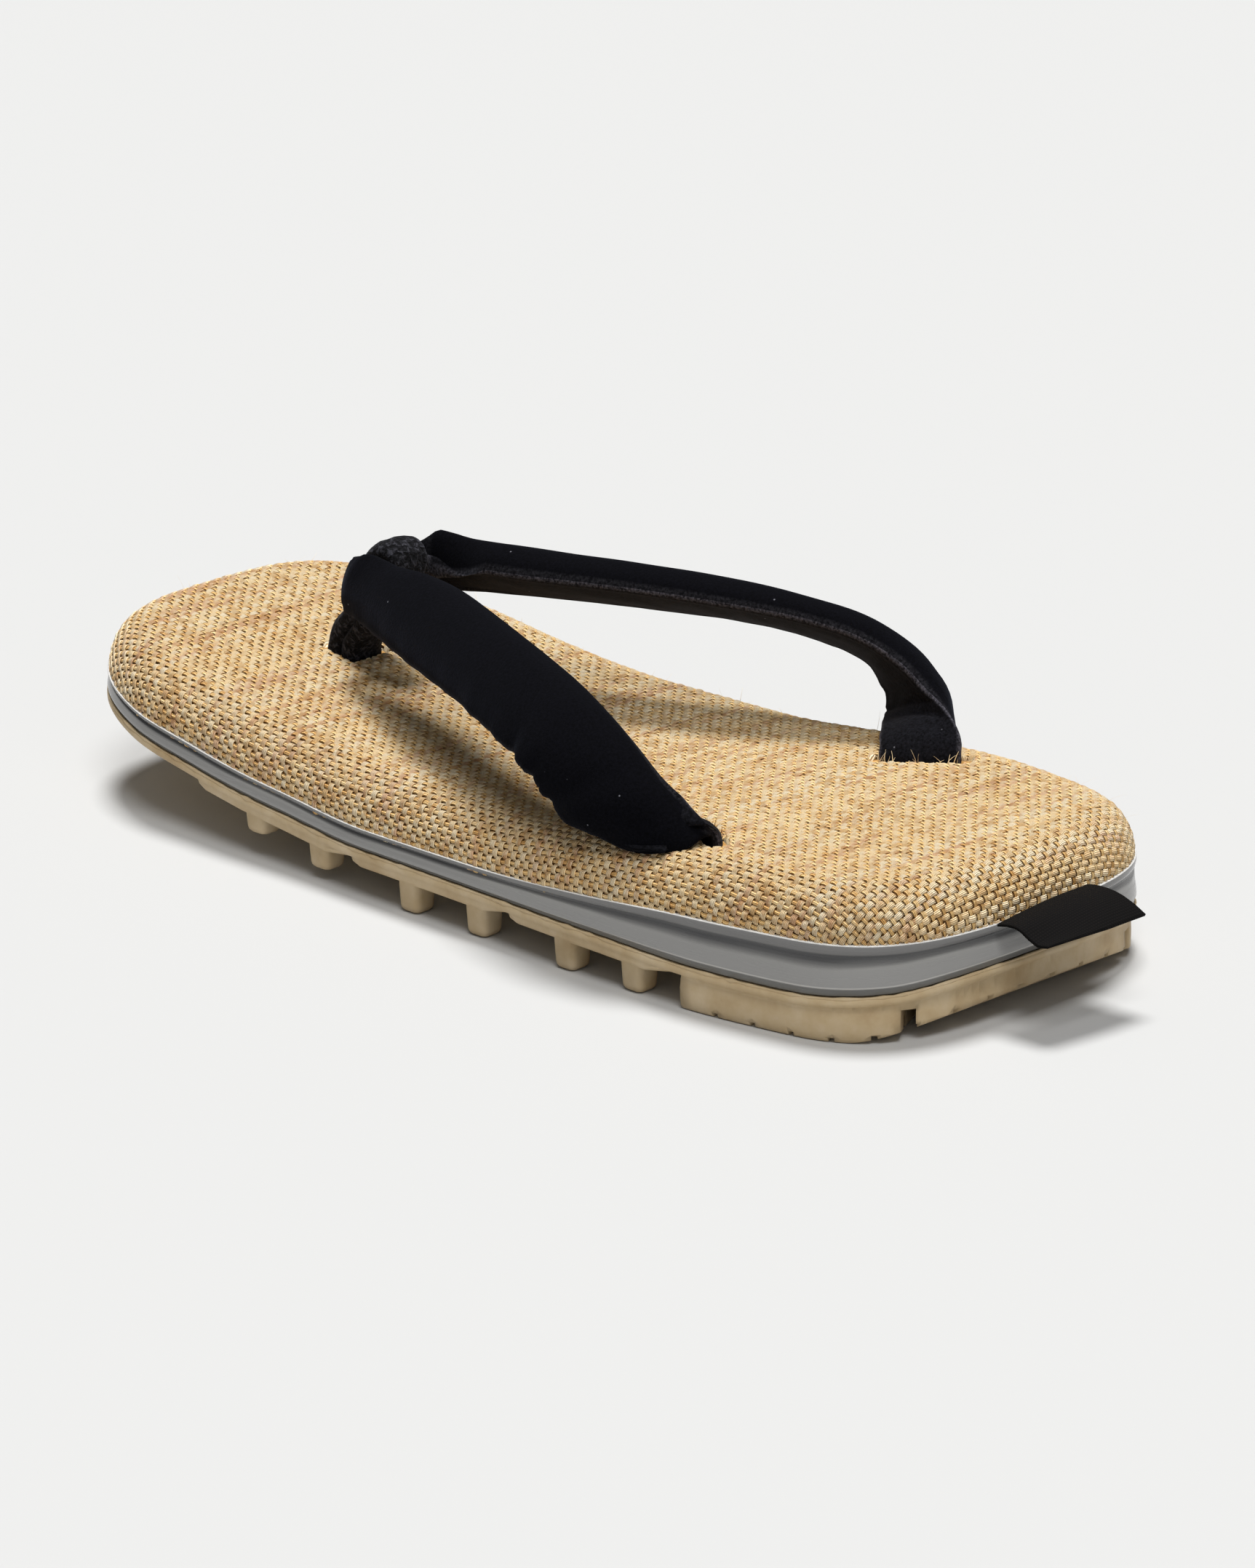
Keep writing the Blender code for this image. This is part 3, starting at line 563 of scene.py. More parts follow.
away = np.stack([flat_u - nearest_u, flat_v - nearest_v], 1)
away /= np.maximum(np.linalg.norm(away, axis=1), 1e-9)[:, None]
turn = np.clip(math.pi / 2 * (1 - beyond / EDGE_ARC), 0, math.pi / 2)
below = np.clip(beyond - EDGE_ARC, 0, 4 * MM)
grid_place = np.stack([flat_u, flat_v, seam_z(flat_v) + FIT_GAP + PAD_RISE], 1)
edge_x = nearest_u + away[:, 0] * PAD_ROUND * np.cos(turn)
edge_y = nearest_v + away[:, 1] * PAD_ROUND * np.cos(turn)
edge_z = seam_z(edge_y) + FIT_GAP + PAD_RISE * np.sin(turn) - below
grid_place[outside] = np.stack([edge_x, edge_y, edge_z], 1)[outside]
grid_out = np.zeros_like(grid_place)
grid_out[:, 2] = 1
edge_out = np.stack([away[:, 0] * np.cos(turn), away[:, 1] * np.cos(turn), np.sin(turn)], 1)
grid_out[outside] = edge_out[outside]
grid_all = np.concatenate([grid_place, grid_out, beyond[:, None]], 1).reshape(len(grid_u), len(grid_v), 7)


def drape(u, v):
    """Place, outward direction and distance past the flat top of a point of the flat cloth."""
    iu = (u - grid_u[0]) / GRID_STEP
    iv = (v - grid_v[0]) / GRID_STEP
    ku = np.clip(iu.astype(int), 0, len(grid_u) - 2)
    kv = np.clip(iv.astype(int), 0, len(grid_v) - 2)
    fu, fv = (iu - ku)[..., None], (iv - kv)[..., None]
    found = (
        grid_all[ku, kv] * (1 - fu) * (1 - fv)
        + grid_all[ku + 1, kv] * fu * (1 - fv)
        + grid_all[ku, kv + 1] * (1 - fu) * fv
        + grid_all[ku + 1, kv + 1] * fu * fv
    )
    return found[..., :3], found[..., 3:6], found[..., 6]


def tucked(u, v):
    """How far a point of the cloth is turned down at a strap slot or the toe hole."""
    depth = np.zeros(np.shape(u))
    run = SLOT_FRONT - SLOT_REAR
    for side in (1, -1):
        p = np.stack([side * u - SLOT_REAR[0], v - SLOT_REAR[1]], -1)
        t = np.clip((p @ run) / (run @ run), 0, 1)
        gap = np.linalg.norm(p - t[..., None] * run, axis=-1) - SLOT_HALF
        depth = np.maximum(depth, np.clip(-gap / TURN_WIDTH, 0, 1))
    hole = np.maximum(np.abs(u) - HOLE_HALF, np.maximum(HOLE_REAR - v, v - HOLE_FRONT))
    return np.maximum(depth, np.clip(-hole / TURN_WIDTH, 0, 1)) * TURN_DEPTH


def wander(a, b, seed):
    """Slow smooth waver between -1 and 1 along a thread."""
    slow = np.sin(a * 61 + b * 1.7 + seed) * 0.4 + np.sin(a * 173 + b * 3.1 + seed * 2.3) * 0.3
    return slow + np.sin(a * 740 + b * 2.9 + seed * 3.7) * 0.3


def weave_threads(name, numbers, pitch, cross_pitch, across_weft, section, offsets, lift, crimp, seed, reach):
    """One joined mesh of threads; each thread's section follows the cloth over and under."""
    rng = np.random.default_rng(seed)
    verts, faces, tints, around, base = [], [], [], [], 0
    k = len(section)
    for number in numbers:
        centre = number * pitch + rng.normal(0, 0.05) * pitch
        crossings = np.arange(-reach, reach + 1)
        along = (crossings[:, None] + np.array(offsets)[None]).ravel() * cross_pitch
        on_top = (crossings + number) % 2 == (0 if across_weft else 1)
        over = np.repeat(np.where(on_top, 1.0, -1.0), len(offsets))
        level = over * np.tile(lift, len(crossings)) * crimp
        level = level * np.repeat(1 + rng.normal(0, 0.12, len(crossings)), len(offsets))
        middle_v = centre + wander(along, number * 2.7, seed) * 0.09 * pitch
        if not across_weft:
            along = along + WEFT_PITCH * MIDDLE_WEFT
        span = (along, middle_v) if across_weft else (middle_v, along)
        distance = drape(*span)[2]
        keep = np.where(distance < EDGE_ARC + TUCK)[0]
        if len(keep) < 8:
            continue
        keep = np.arange(keep[0], keep[-1] + 1)
        along, middle_v, level = along[keep], middle_v[keep], level[keep]
        width = 1 + 0.12 * wander(along * 2.3, number * 5, seed + 4) + rng.normal(0, 0.05)
        side = middle_v[:, None] + section[None, :, 0] * width[:, None]
        long = np.repeat(along[:, None], k, 1)
        u, v = (long, side) if across_weft else (side, long)
        place, out, _ = drape(u, v)
        height = level[:, None] + section[None, :, 1] + rng.normal(0, 0.02 * MM, len(level))[:, None]
        height = height - CLOTH_DEPTH - tucked(u, v)
        points = place + out * height[..., None]
        n = len(along)
        verts.append(points.reshape(-1, 3))
        ring = np.arange(k)
        i = np.arange(n - 1)[:, None]
        a, b = base + i * k + ring, base + i * k + (ring + 1) % k
        quads = np.stack([a, b, b + k, a + k], -1).reshape(-1, 4)
        faces.append(quads)
        tints.append(np.full(n * k, rng.random()))
        around.append(np.tile(section[:, 0] / np.ptp(section[:, 0]) + 0.5, n))
        base += n * k
    verts = np.concatenate(verts)
    verts[:, 1] -= MIDDLE
    mesh = bpy.data.meshes.new(name)
    mesh.from_pydata(verts, [], np.concatenate(faces))
    for layer, values in (("thread", tints), ("across", around)):
        values = np.concatenate(values).astype(np.float32)
        mesh.attributes.new(layer, "FLOAT", "POINT").data.foreach_set("value", values)
    bm = bmesh.new()
    bm.from_mesh(mesh)
    bmesh.ops.holes_fill(bm, edges=[e for e in bm.edges if e.is_boundary], sides=k)
    bmesh.ops.recalc_face_normals(bm, faces=bm.faces)
    for face in bm.faces:
        face.smooth = True
    bm.to_mesh(mesh)
    bm.free()
    piece = bpy.data.objects.new(name, mesh)
    bpy.context.scene.collection.objects.link(piece)
    return piece


def oval(width, thick, sides, flat):
    """Section of a thread, anticlockwise; flat below 1 squares it."""
    a = np.arange(sides) / sides * 2 * math.pi + math.pi / sides
    c, s = np.cos(a), np.sin(a)
    x = np.sign(c) * np.abs(c) ** flat * width / 2
    y = np.sign(s) * np.abs(s) ** flat * thick / 2
    return np.stack([x, y], 1)


WEFT_SECTION = oval(WEFT_WIDTH, WEFT_THICK, 6, 0.5)
WARP_SECTION = oval(WARP_WIDTH, WARP_THICK, 5, 0.9)
# Steps along a thread at each crossing and its lift there, in shares
WEFT_STEPS, WEFT_LIFT = (-0.32, 0.0, 0.32), (0.9, 1.0, 0.9)
WARP_STEPS, WARP_LIFT = (-0.2, 0.2), (0.95, 0.95)
WEFT = (WEFT_PITCH, WARP_PITCH, True, WEFT_SECTION, WEFT_STEPS, WEFT_LIFT, WEFT_CRIMP, 11, 46)
WARP = (WARP_PITCH, WEFT_PITCH, False, WARP_SECTION, WARP_STEPS, WARP_LIFT, WARP_CRIMP, 23, 108)
STRAW = [
    ("weft_heel", range(-18, 60), WEFT),
    ("weft_waist", range(60, 118), WEFT),
    ("weft_toe", range(118, 196), WEFT),
    ("warp_left", range(-46, 0), WARP),
    ("warp_right", range(0, 47), WARP),
]
straw_pieces = [weave_threads(name, numbers, *kind) for name, numbers, kind in STRAW]

# Straw yarn: matte and dry; each weft is three or four flat strands side by side, space
# dyed, so rosy and cream streaks 20 to 60 mm long run across the foot
STRAW_TONES = {"weft": ("#FBE0B0", "#FFE9BE", "#FFF2D4"), "warp": ("#F0C886", "#F9D698", "#FFE3AE")}
for kind, tones in STRAW_TONES.items():
    yarn = new_material("straw_yarn_" + kind, tones[1], 0.62, IOR=1.5, Specular_IOR_Level=0.2)
    place = object_place(yarn)
    thread = attribute(yarn, "thread")
    base = ramp(yarn, thread, [(0.0, tones[0]), (0.45, tones[1]), (1.0, tones[2])])
    if kind == "weft":
        streak_at = stretched(yarn, place, (22.0, 330.0, 60.0))
        streak = noise_map(yarn, streak_at, 1.0, 2.0, Roughness=0.6)
        base = mix(yarn, ramp(yarn, streak, [(0.52, 0.0), (0.66, 0.75)]), base, "#DDAF8A")
        pale_at = stretched(yarn, place, (60.0, 650.0, 80.0), (3.1, 7.7, 1.9))
        pale = noise_map(yarn, pale_at, 1.0, 1.0)
        base = mix(yarn, ramp(yarn, pale, [(0.56, 0.0), (0.72, 0.7)]), base, "#FDEAC8")
    # every visible length of yarn differs a little from the next
    patch = add(yarn, "ShaderNodeTexVoronoi", {"feature": "F1"}, Vector=place, Scale=560.0).outputs["Color"]
    base = mix(yarn, 1.0, base, ramp(yarn, patch, [(0.2, "#E6D8C6"), (0.45, "#FFFFFF")]), "MULTIPLY")
    # strand lines: the grooves between the strands are darkened in the colour, painted shade in the valleys
    # of the relief
    across = attribute(yarn, "across")
    strands = maths(yarn, "MULTIPLY", across, 22.0 if kind == "weft" else 14.0)
    ribs = maths(yarn, "SINE", strands)
    lines = maths(yarn, "MULTIPLY_ADD", ribs, 0.5, 0.5)
    base = mix(yarn, 1.0, base, ramp(yarn, lines, [(0.0, "#CBAB82"), (0.24, "#FFFFFF")]), "MULTIPLY")
    join(yarn, base, "Base Color")
    relief(yarn, ribs, 0.8, 0.0002)
    for piece in straw_pieces:
        if piece.name.startswith(kind):
            finish_piece(piece, "footbed", yarn)

# Frays: cut ends of straw stand up round the two slots, and thin stray hairs lie along the edge
# of the pad; each is a tapering blade with a bow of its own
SLOT_FRAYS, EDGE_HAIRS = 46, 110
FRAY_THICK, HAIR_THICK = 0.15 * MM, 0.05 * MM
fray_rng = np.random.default_rng(5)
frays = bmesh.new()
fray_roots = []
for side in (1, -1):
    for _ in range(SLOT_FRAYS):
        t, flank = fray_rng.random(), fray_rng.choice((-1, 1))
        along = SLOT_REAR + (SLOT_FRONT - SLOT_REAR) * t
        away = np.array((SLOT_FRONT[1] - SLOT_REAR[1], SLOT_REAR[0] - SLOT_FRONT[0]))
        away = away / np.linalg.norm(away) * flank
        root = along + away * (SLOT_HALF + fray_rng.uniform(-0.1, 0.5) * MM)
        lean = -away * fray_rng.uniform(0.2, 1.0) + fray_rng.normal(0, 0.5, 2)
        length = fray_rng.uniform(1.2, 3.0) * MM
        fray_roots.append((side * root[0], root[1], side * lean[0], lean[1], length, FRAY_THICK))
for _ in range(EDGE_HAIRS):
    k = int(fray_rng.integers(0, len(PLAN)))
    reach = fray_rng.uniform(0.5, 6.5) * MM
    root = PLAN[k] - PLAN_OUT[k] * reach
    lean = PLAN_OUT[k] * fray_rng.uniform(-0.3, 0.7) + fray_rng.normal(0, 0.7, 2)
    fray_roots.append((*root, *lean, fray_rng.uniform(1.5, 3.5) * MM, HAIR_THICK))
for u, v, lean_u, lean_v, length, thick in fray_roots:
    foot, out, _ = drape(np.array([u]), np.array([v]))
    rise = out[0] * fray_rng.uniform(0.35, 0.9) + np.array((lean_u, lean_v, 0)) * 0.6
    rise /= np.linalg.norm(rise)
    bow = fray_rng.normal(0, 0.3, 3)
    flat = np.cross(rise, (0.3, 0.2, 0.9))
    flat /= np.linalg.norm(flat)
    rings = []
    for t in (0.0, 0.35, 0.7, 1.0):
        middle = foot[0] - out[0] * 0.25 * MM + rise * length * t + bow * length * t * t
        size = thick * (1 - 0.75 * t)
        rings.append([middle + flat * size, middle + np.cross(rise, flat) * size * 0.6, middle - flat * size])
    skin(frays, rings, cap=True)
straw_frays = settle("straw_frays", frays)
finish_piece(straw_frays, "footbed", bpy.data.materials["straw_yarn_weft"])

# Strap: velvet outer face and brushed lining sewn round a stuffed core, both ends down in the
# pad's slots. Right leg: x, y and z of the rear and of the front edge as shares of WIDTH,
# SOLE_LENGTH and STRAP_HEIGHT, then swell of the outer face and of the lining in mm, and how
# upright the outer face starts.
STRAP_ROWS = [
    ((0.3467, 0.2222, 0.4183), (0.2666, 0.2837, 0.4183), 2.7, 2.7, 0.0),
    ((0.3467, 0.2222, 0.5621), (0.2666, 0.2837, 0.5523), 2.7, 2.7, 0.0),
    ((0.3641, 0.2304, 0.6307), (0.3171, 0.3022, 0.5915), 3.4, 2.6, 0.0),
    ((0.3737, 0.2489, 0.7026), (0.4024, 0.3304, 0.5752), 7.0, 2.2, 0.0),
    ((0.3754, 0.2733, 0.7614), (0.4634, 0.3500, 0.5866), 8.0, 1.8, 0.0),
    ((0.3693, 0.3041, 0.8464), (0.4817, 0.3652, 0.6569), 7.3, 1.6, 0.0),
    ((0.3476, 0.3437, 0.9150), (0.4852, 0.3837, 0.7190), 6.6, 1.5, 0.0),
    ((0.3084, 0.3915, 0.9526), (0.4652, 0.4119, 0.7614), 6.6, 1.5, 0.0),
    ((0.2605, 0.4448, 0.9690), (0.4373, 0.4504, 0.7925), 6.8, 1.5, 0.0),
    ((0.2091, 0.5004, 0.9788), (0.3929, 0.4970, 0.8121), 7.1, 1.5, 0.0),
    ((0.1559, 0.5552, 0.9837), (0.3415, 0.5489, 0.8154), 7.4, 1.5, 0.0),
    ((0.1063, 0.6074, 0.9820), (0.2875, 0.6044, 0.8154), 7.8, 1.5, 0.0),
    ((0.0767, 0.6556, 0.9739), (0.2300, 0.6578, 0.8137), 8.1, 1.4, 0.2),
    ((0.0767, 0.6963, 0.9641), (0.1725, 0.7078, 0.8072), 7.2, 1.0, 0.7),
    ((0.0801, 0.7311, 0.9902), (0.1307, 0.7407, 0.7974), 5.6, 0.8, 0.9),
    ((0.0836, 0.7585, 0.9902), (0.1098, 0.7585, 0.7843), 2.4, 1.2, 0.6),
    ((0.0575, 0.7541, 0.9706), (0.0575, 0.7578, 0.7778), 1.6, 1.6, 0.0),
    ((0.0000, 0.7541, 0.9673), (0.0000, 0.7570, 0.7778), 1.6, 1.6, 0.0),
]
STRAP_STEPS, FACE_POINTS = 6, 18


def smooth_rows(table, steps):
    """Catmull-Rom through the rows, with that many steps from one to the next."""
    made = []
    for i in range(len(table) - 1):
        before, a, b, after = table[max(i - 1, 0)], table[i], table[i + 1], table[min(i + 2, len(table) - 1)]
        square, cube = 2 * before - 5 * a + 4 * b - after, 3 * a - before - 3 * b + after
        for t in np.arange(steps) / steps:
            made.append(0.5 * (2 * a + (b - before) * t + square * t * t + cube * t**3))
    made.append(table[-1])
    return np.array(made)


full = np.array((WIDTH, SOLE_LENGTH, STRAP_HEIGHT)) / MM
strap_rows = [[*rear * full, *front * full, *shape] for rear, front, *shape in STRAP_ROWS]
strap_table = smooth_rows(np.array(strap_rows), STRAP_STEPS)
# Rows at the fold in the nose, at the turn to the middle and at the end of the upright foot
NOSE_FOLD, NOSE_TURN, UPRIGHT_END = 14.1, 13.5, 2.0
FACE_FLATNESS = 0.5


def bell(x, middle, width):
    return math.exp(-(((x - middle) / width) ** 2))


strap_loops = []
for k, row in enumerate(strap_table):
    rear, front, (swell, belly, upright_face) = row[:3], row[3:6], row[6:]
    before, after = strap_table[max(k - 1, 0)], strap_table[min(k + 1, len(strap_table) - 1)]
    run = (after - before)[:3] + (after - before)[3:6]
    run /= max(np.linalg.norm(run), 1e-9)
    at = k / STRAP_STEPS
    toward_nose = min(max((at - NOSE_TURN) / 1.5, 0), 1)
    upright = min(max(UPRIGHT_END - at, 0), 1)
    run = run * (1 - toward_nose) * (1 - upright) + np.array((-toward_nose, 0, upright))
    outward = np.cross(front - rear, run)
    outward /= np.linalg.norm(outward)
    chord = (front - rear) / np.linalg.norm(front - rear)
    # the cloth is gathered along the front edge, creased above the slot and folded near the nose
    ripple = 0.8 * math.sin(at * 5.3) + 0.45 * math.sin(at * 11.7 + 1)
    gather = bell(at, 5.6, 2.6) * ripple + 0.15 * math.sin(at * 8.1)
    crease = 0.6 * bell(at, 2.7, 0.2) + 0.8 * bell(at, 3.5, 0.2) + 0.6 * bell(at, 4.4, 0.22)
    fold = 1.3 * bell(at, NOSE_FOLD, 0.22)
    loop = []
    for i in range(2 * FACE_POINTS):
        outer = i < FACE_POINTS
        t = 0.5 - 0.5 * math.cos(math.pi * i / FACE_POINTS)
        full_side = math.sin(math.pi * (t**0.8 if outer else t))
        bow = math.sin(math.pi * t)
        if outer:
            height = swell * full_side**FACE_FLATNESS + fold * bow * (1 - t) - 0.3 * crease * bow
            height += 0.3 * noise.noise(Vector((at * 0.9, t * 2.5, 3.0))) * bow * min(at / 3, 1)
            height -= 0.35 * (bell(t, 0.9, 0.035) + bell(t, 0.09, 0.035)) * min(at / 2, 1)
        else:
            height = crease * bow**0.5 - belly * full_side**FACE_FLATNESS
            height -= 0.45 * (bell(t, 0.05, 0.04) + bell(t, 0.95, 0.05)) * min(at / 2, 1)
            height -= 0.4 * noise.noise(Vector((at * 2.2, t * 3.0, 9.0))) * bow
        slack = gather * max(0, t - 0.55) * 1.5
        lean = upright_face * (1 - t) if outer else 0.0
        out = outward * (1 - lean) + np.array((0, 0, 1.0)) * lean
        out /= np.linalg.norm(out)
        loop.append(rear + (front - rear) * t + out * height + chord * slack)
    strap_loops.append(np.array(loop) * MM)
right_half = skin(bmesh.new(), strap_loops)
# Row up the leg, share across it, and nearness to the sewn edges: 1 on a seam, 0 from SEAM_REACH
SEAM_REACH = 1.6 * MM
layers = right_half.verts.layers.float
along_leg, across_leg = layers.new("along_leg"), layers.new("across_leg")
rear_seam, front_seam = layers.new("rear_seam"), layers.new("front_seam")
right_half.verts.ensure_lookup_table()
spot_of = {}
for index, vert in enumerate(right_half.verts):
    step, spot = divmod(index, 2 * FACE_POINTS)
    spot_of[vert] = spot
    vert[along_leg] = step / STRAP_STEPS
    vert[across_leg] = 1 - abs(1 - spot / FACE_POINTS)
    for layer, sewn in ((rear_seam, 0), (front_seam, FACE_POINTS)):
        gap = float(np.linalg.norm(strap_loops[step][sewn] - strap_loops[step][spot]))
        vert[layer] = max(0.0, 1 - gap / SEAM_REACH)
for face in right_half.faces:
    spots = [spot_of[v] for v in face.verts]
    face.material_index = 1 if max(spots) - min(spots) > 1 or min(spots) >= FACE_POINTS else 0
open_foot = [e for e in right_half.edges if e.is_boundary and all(v.co.z < 30 * MM for v in e.verts)]
bmesh.ops.contextual_create(right_half, geom=open_foot)
whole = right_half.verts[:] + right_half.edges[:] + right_half.faces[:]
bmesh.ops.mirror(right_half, geom=whole, axis="X", merge_dist=0.02 * MM)
# The two legs are not twins: the left one's stuffing bulges out over its slot, and the right one
# is folded up into a peak beside the toe loop, its rear seam hanging lower there
BULGE_ROWS, BULGE_SHARES = (1.1, 1.5, 2.0, 2.5, 3.2, 4.5), (0, 0.6, 1, 0.85, 0.35, 0)
BULGE, PEAK = Vector((-15, -16.5, -3.2)) * MM, Vector((0.5, 0, 1.2)) * MM
PEAK_PLACE, PEAK_TOEWARD, PEAK_HEELWARD, PEAK_FLOOR = 197.5, 4.5, 10, 54
SEAM_DROP = 8.5 * MM
for v in right_half.verts:
    if v.co.x < 0:
        bulge = float(np.interp(v[along_leg], BULGE_ROWS, BULGE_SHARES) * v[across_leg])
        v.co += BULGE * bulge
        v[front_seam] *= 1 - min(1, bulge * 1.5)
    else:
        y, z = v.co.y / MM, v.co.z / MM
        peak = bell(y, PEAK_PLACE, PEAK_TOEWARD if y > PEAK_PLACE else PEAK_HEELWARD)
        v.co += PEAK * (peak * min(max((z - PEAK_FLOOR) / 8, 0), 1))
        drop = min(max(v[along_leg] - 12.3, 0) / 1.7, 1) * max(0, 1 - v[across_leg] / 0.3)
        v.co.z -= SEAM_DROP * drop
        v[rear_seam] = max(v[rear_seam], 0.6 * bell(v[along_leg], 14.4, 0.1))
strap = settle("strap_velvet", right_half)


# Cotton velvet outside and brushed cotton lining: both drink the light; their short fuzz catches
# it along the two sewn edges, and a little lint lies on the pile
def black_cloth(name, tone, roughness, shine, sheen_roughness, sheen):
    """Black cloth with a faint sheen of another tone at grazing angles."""
    fuzz = {"Sheen_Weight": 0.12, "Sheen_Roughness": sheen_roughness, "Sheen_Tint": linear(sheen)}
    return new_material(name, tone, roughness, Specular_IOR_Level=shine, **fuzz)


velvet = black_cloth("cotton_velvet", "#060609", 1.0, 0.05, 0.3, "#8087A0")
brushed = black_cloth("brushed_lining", "#100F10", 1.0, 0.05, 0.4, "#A09A9C")
# Dark and light of the pile, tone of the lit fuzz at the seams and how much of it shows
CLOTH_TONES = [
    (velvet, "#050507", "#0B0B10", "#3A393D", 0.45),
    (brushed, "#050506", "#1C1C21", "#5E5C64", 0.8),
]
for cloth, dark, light, edge, near in CLOTH_TONES:
    place = object_place(cloth)
    fuzz = noise_map(cloth, place, 1500.0, 4.0, Roughness=0.7)
    tone = ramp(cloth, fuzz, [(0.35, dark), (0.7, light)])
    either = maths(cloth, "MAXIMUM", attribute(cloth, "rear_seam"), attribute(cloth, "front_seam"))
    close = ramp(cloth, either, [(0.1, 0.0), (0.5, near)])
    caught = maths(cloth, "MULTIPLY", close, ramp(cloth, fuzz, [(0.4, 0.1), (0.65, 1.0)]))
    tone = mix(cloth, caught, tone, edge)
    lint = add(cloth, "ShaderNodeTexVoronoi", {"feature": "F1"}, Vector=place, Scale=300.0)
    speck = ramp(cloth, lint.outputs["Distance"], [(0.04, 1.0), (0.08, 0.0)])
    rare = maths(cloth, "GREATER_THAN", lint.outputs["Color"], 0.8)
    shown = maths(cloth, "MULTIPLY", speck, rare)
    join(cloth, mix(cloth, shown, tone, "#6A6A70"), "Base Color")
    relief(cloth, fuzz, 0.5, 0.0004)
indices = [polygon.material_index for polygon in strap.data.polygons]
finish_piece(strap, "strap", velvet, brushed)
strap.data.polygons.foreach_set("material_index", indices)
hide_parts("strap")

# Toe loop: a stuffed tube of crinkled black cloth folded over the nose, its two ends side by
# side down in the pad. Middle line y and z, half width, half thickness, all in mm.
LOOP_PATH = [
    (213.0, 25.4, 5.3, 2.6), (213.0, 31.0, 5.3, 2.8), (212.8, 35.6, 5.4, 3.0), (210.4, 39.8, 5.7, 2.9),
    (206.0, 43.8, 5.9, 2.6), (201.6, 47.6, 5.8, 2.4), (198.2, 52.2, 5.7, 2.2), (196.7, 57.2, 5.9, 2.2),
    (197.6, 61.0, 5.6, 2.4), (200.2, 62.2, 5.6, 2.5), (203.2, 61.3, 5.6, 2.3), (205.6, 58.8, 5.5, 2.1),
    (207.0, 55.4, 5.6, 1.9), (208.0, 51.4, 5.6, 2.0), (210.0, 47.4, 5.6, 2.3), (212.8, 43.6, 5.7, 2.6),
    (215.8, 39.9, 5.6, 2.9), (217.5, 35.8, 5.4, 3.0), (217.7, 31.0, 5.3, 2.8), (217.9, 25.4, 5.2, 2.6),
]
LOOP_POINTS, LOOP_STEPS = 26, 5
fine = smooth_rows(np.array(LOOP_PATH), LOOP_STEPS)
loop_rings = []
for i, (y, z, wide, thick) in enumerate(fine):
    ahead = fine[min(i + 1, len(fine) - 1), :2] - fine[max(i - 1, 0), :2]
    ahead /= np.linalg.norm(ahead)
    normal = np.array((0, -ahead[1], ahead[0]))
    ring = []
    for j in range(LOOP_POINTS):
        a = 2 * math.pi * j / LOOP_POINTS
        c, d = math.cos(a), math.sin(a)
        x = math.copysign(abs(c) ** 0.75, c) * wide
        h = math.copysign(abs(d) ** 0.8, d) * thick
        crinkle = 0.55 * noise.noise(Vector((x * 0.55, i * 0.22, 2 * d)))
        crinkle += 0.3 * noise.noise(Vector((x * 1.3, i * 0.6, 5 + d)))
        swell = 1 + crinkle * (0.22 if 0 < i < len(fine) - 1 else 0)
        ring.append(np.array((x * (1 + crinkle * 0.06), y, z)) + normal * h * swell)
    loop_rings.append(np.array(ring) * MM)
toe_loop = settle("toe_loop_crepe", skin(bmesh.new(), loop_rings, cap=True))
# Matte crepe: small puckers, with painted highlight on their ridges and painted shade in their hollows
crepe = black_cloth("crinkled_crepe", "#0D0D0F", 0.95, 0.15, 0.4, "#9A9AA6")
place = object_place(crepe)
pucker = noise_map(crepe, place, 850.0, 3.0, Distortion=0.8)
join(crepe, ramp(crepe, pucker, [(0.38, "#050506"), (0.52, "#141417"), (0.66, "#3A3A40")]), "Base Color")
relief(crepe, pucker, 1.0, 0.0009)
finish_piece(toe_loop, "toe_loop", crepe)
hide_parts("toe_loop")

# Heel label: a woven ribbon folded in two, sewn into the seam under the pad and left bare. Its
# near side curls down and back up like an S, its far side arches down to the corner.
TAG_WIDTH = 30 * MM
CURL_REACH = (0.0, 0.2, 0.36, 0.48, 0.6, 0.8, 1.0)
CURL_NEAR = (-0.2, 0.4, 0.5, 0.0, -1.0, -2.2, -1.7)
CURL_FAR = (1.5, 1.9, 1.9, 1.7, 1.3, 0.2, -1.4)
ribbon_bm = bmesh.new()
bmesh.ops.create_grid(ribbon_bm, x_segments=44, y_segments=26, size=0.5)
for v in ribbon_bm.verts:
    u, t = v.co.x + 0.5, v.co.y + 0.5
    near_share = (1 - min(u / 0.75, 1)) ** 1.6
    near_rise, far_rise = np.interp(t, CURL_REACH, CURL_NEAR), np.interp(t, CURL_REACH, CURL_FAR)
    rise = near_rise * near_share + far_rise * (1 - near_share)
    reach = LABEL_REACH * (0.88 + 0.12 * min(u / 0.6, 1)) * t
    v.co = ((u - 0.5) * TAG_WIDTH, -FIT_GAP - reach, float(seam_z(0)) + 0.3 * MM + rise * MM)
inner_verts = [v for v in ribbon_bm.verts if not v.is_boundary]
for _ in range(2):
    bmesh.ops.smooth_vert(ribbon_bm, verts=inner_verts, factor=0.5, use_axis_z=True)
tag = settle("heel_label", ribbon_bm)
plies = tag.modifiers.new("two_plies", "SOLIDIFY")
plies.thickness = 0.55 * MM
plies.offset = 0
apply_modifiers(tag)
ribbon = new_material("woven_ribbon", "#120F0E", 0.85, Specular_IOR_Level=0.1)
place = object_place(ribbon)
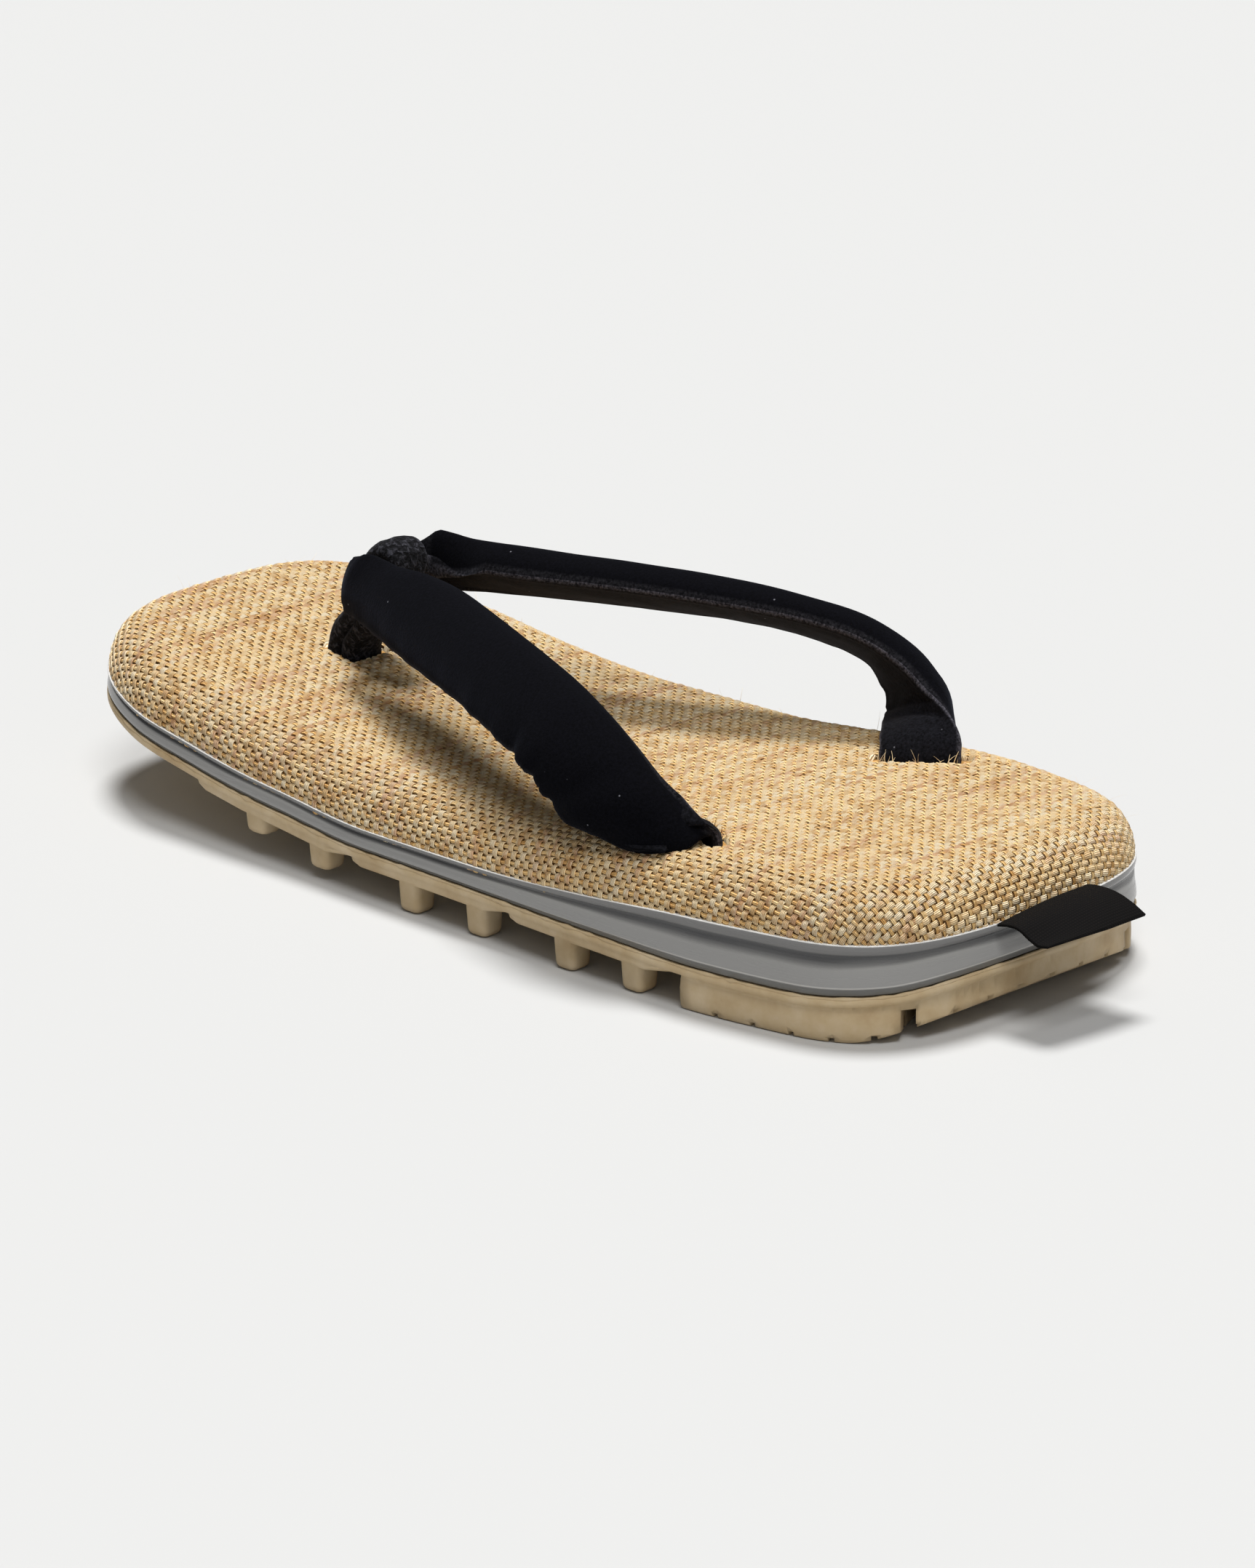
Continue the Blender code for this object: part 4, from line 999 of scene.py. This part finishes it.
# satin weave: wavering bands 0.7 mm apart, along the ribbon and across it
waves = []
for direction, scale, waver in (("Y", 450.0, 0.6), ("X", 420.0, 0.4)):
    kind = {"wave_type": "BANDS", "bands_direction": direction}
    wave = add(ribbon, "ShaderNodeTexWave", kind, Vector=place, Scale=scale, Distortion=waver, Detail=2.0)
    waves.append(wave.outputs["Fac"])
woven = maths(ribbon, "MULTIPLY", *waves)
join(ribbon, ramp(ribbon, woven, [(0.0, "#050404"), (1.0, "#120F0E")]), "Base Color")
relief(ribbon, woven, 0.35, 0.0002)
finish_piece(tag, "heel_tag", ribbon)
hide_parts("heel_tag")

# Studio: a seamless pale sweep, a soft key almost overhead, a weaker one on the near side and a
# broad low reflector beside the camera
bpy.context.scene.view_settings.view_transform = "Standard"
floor_bm = bmesh.new()
bmesh.ops.create_grid(floor_bm, x_segments=1, y_segments=1, size=15)
floor = settle("studio_floor", floor_bm, moved=False)
paper = new_material("matte_paper", "#C1C1C0", 0.9, Specular_IOR_Level=0.1)
floor.data.materials.append(paper)
world = bpy.context.scene.world or bpy.data.worlds.new("studio")
bpy.context.scene.world = world
world.use_nodes = True
surround = world.node_tree.nodes["Background"]
surround.inputs["Color"].default_value = linear("#FFFFFF")
surround.inputs["Strength"].default_value = 0.12
# Name, strength, spread in degrees and the direction the light comes from
LAMPS = [
    ("key", 3.4, 18, (0.17, 0.17, 0.97)),
    ("near_side", 1.4, 24, (-0.28, -0.36, 0.89)),
    ("reflector", 0.45, 70, (-0.6, -0.62, 0.5)),
]
for name, energy, spread, from_direction in LAMPS:
    lamp = bpy.data.lights.new(name, "SUN")
    lamp.energy = energy
    lamp.angle = math.radians(spread)
    lamp_object = bpy.data.objects.new(name, lamp)
    bpy.context.scene.collection.objects.link(lamp_object)
    lamp_object.rotation_euler = Vector(from_direction).to_track_quat("Z", "Y").to_euler()

# Camera: 47 degrees left of the heel and 17 above the floor, two metres away. Eye and aim are
# given in mm to the right of the middle of the sole and above it, as the camera sees it.
AZIMUTH, ELEVATION = math.radians(-47.195), math.radians(17.245)
EYE_RIGHT, EYE_UP, AIM_RIGHT, AIM_UP = 52.514, 75.827, 6.15, 20.0
DISTANCE, FOCAL_LENGTH = 2.0, 114.5 * 1.75
right = Vector((math.cos(AZIMUTH), math.sin(AZIMUTH), 0))
flat_back = (math.sin(AZIMUTH) * math.cos(ELEVATION), -math.cos(AZIMUTH) * math.cos(ELEVATION))
back = Vector((*flat_back, math.sin(ELEVATION)))
up = back.cross(right)
base_point = Vector((0, 135 * MM - MIDDLE, -1.2 * MM))
eye = base_point + right * EYE_RIGHT * MM + up * EYE_UP * MM + back * DISTANCE
aim = base_point + right * AIM_RIGHT * MM + up * AIM_UP * MM
camera = bpy.data.cameras.new("camera")
camera.sensor_width = 36
camera.lens = FOCAL_LENGTH
camera.clip_start = 0.1
camera_object = bpy.data.objects.new("camera", camera)
bpy.context.scene.collection.objects.link(camera_object)
camera_object.location = eye
camera_object.rotation_euler = (eye - aim).to_track_quat("Z", "Y").to_euler()
bpy.context.scene.camera = camera_object

bpy.context.view_layer.update()
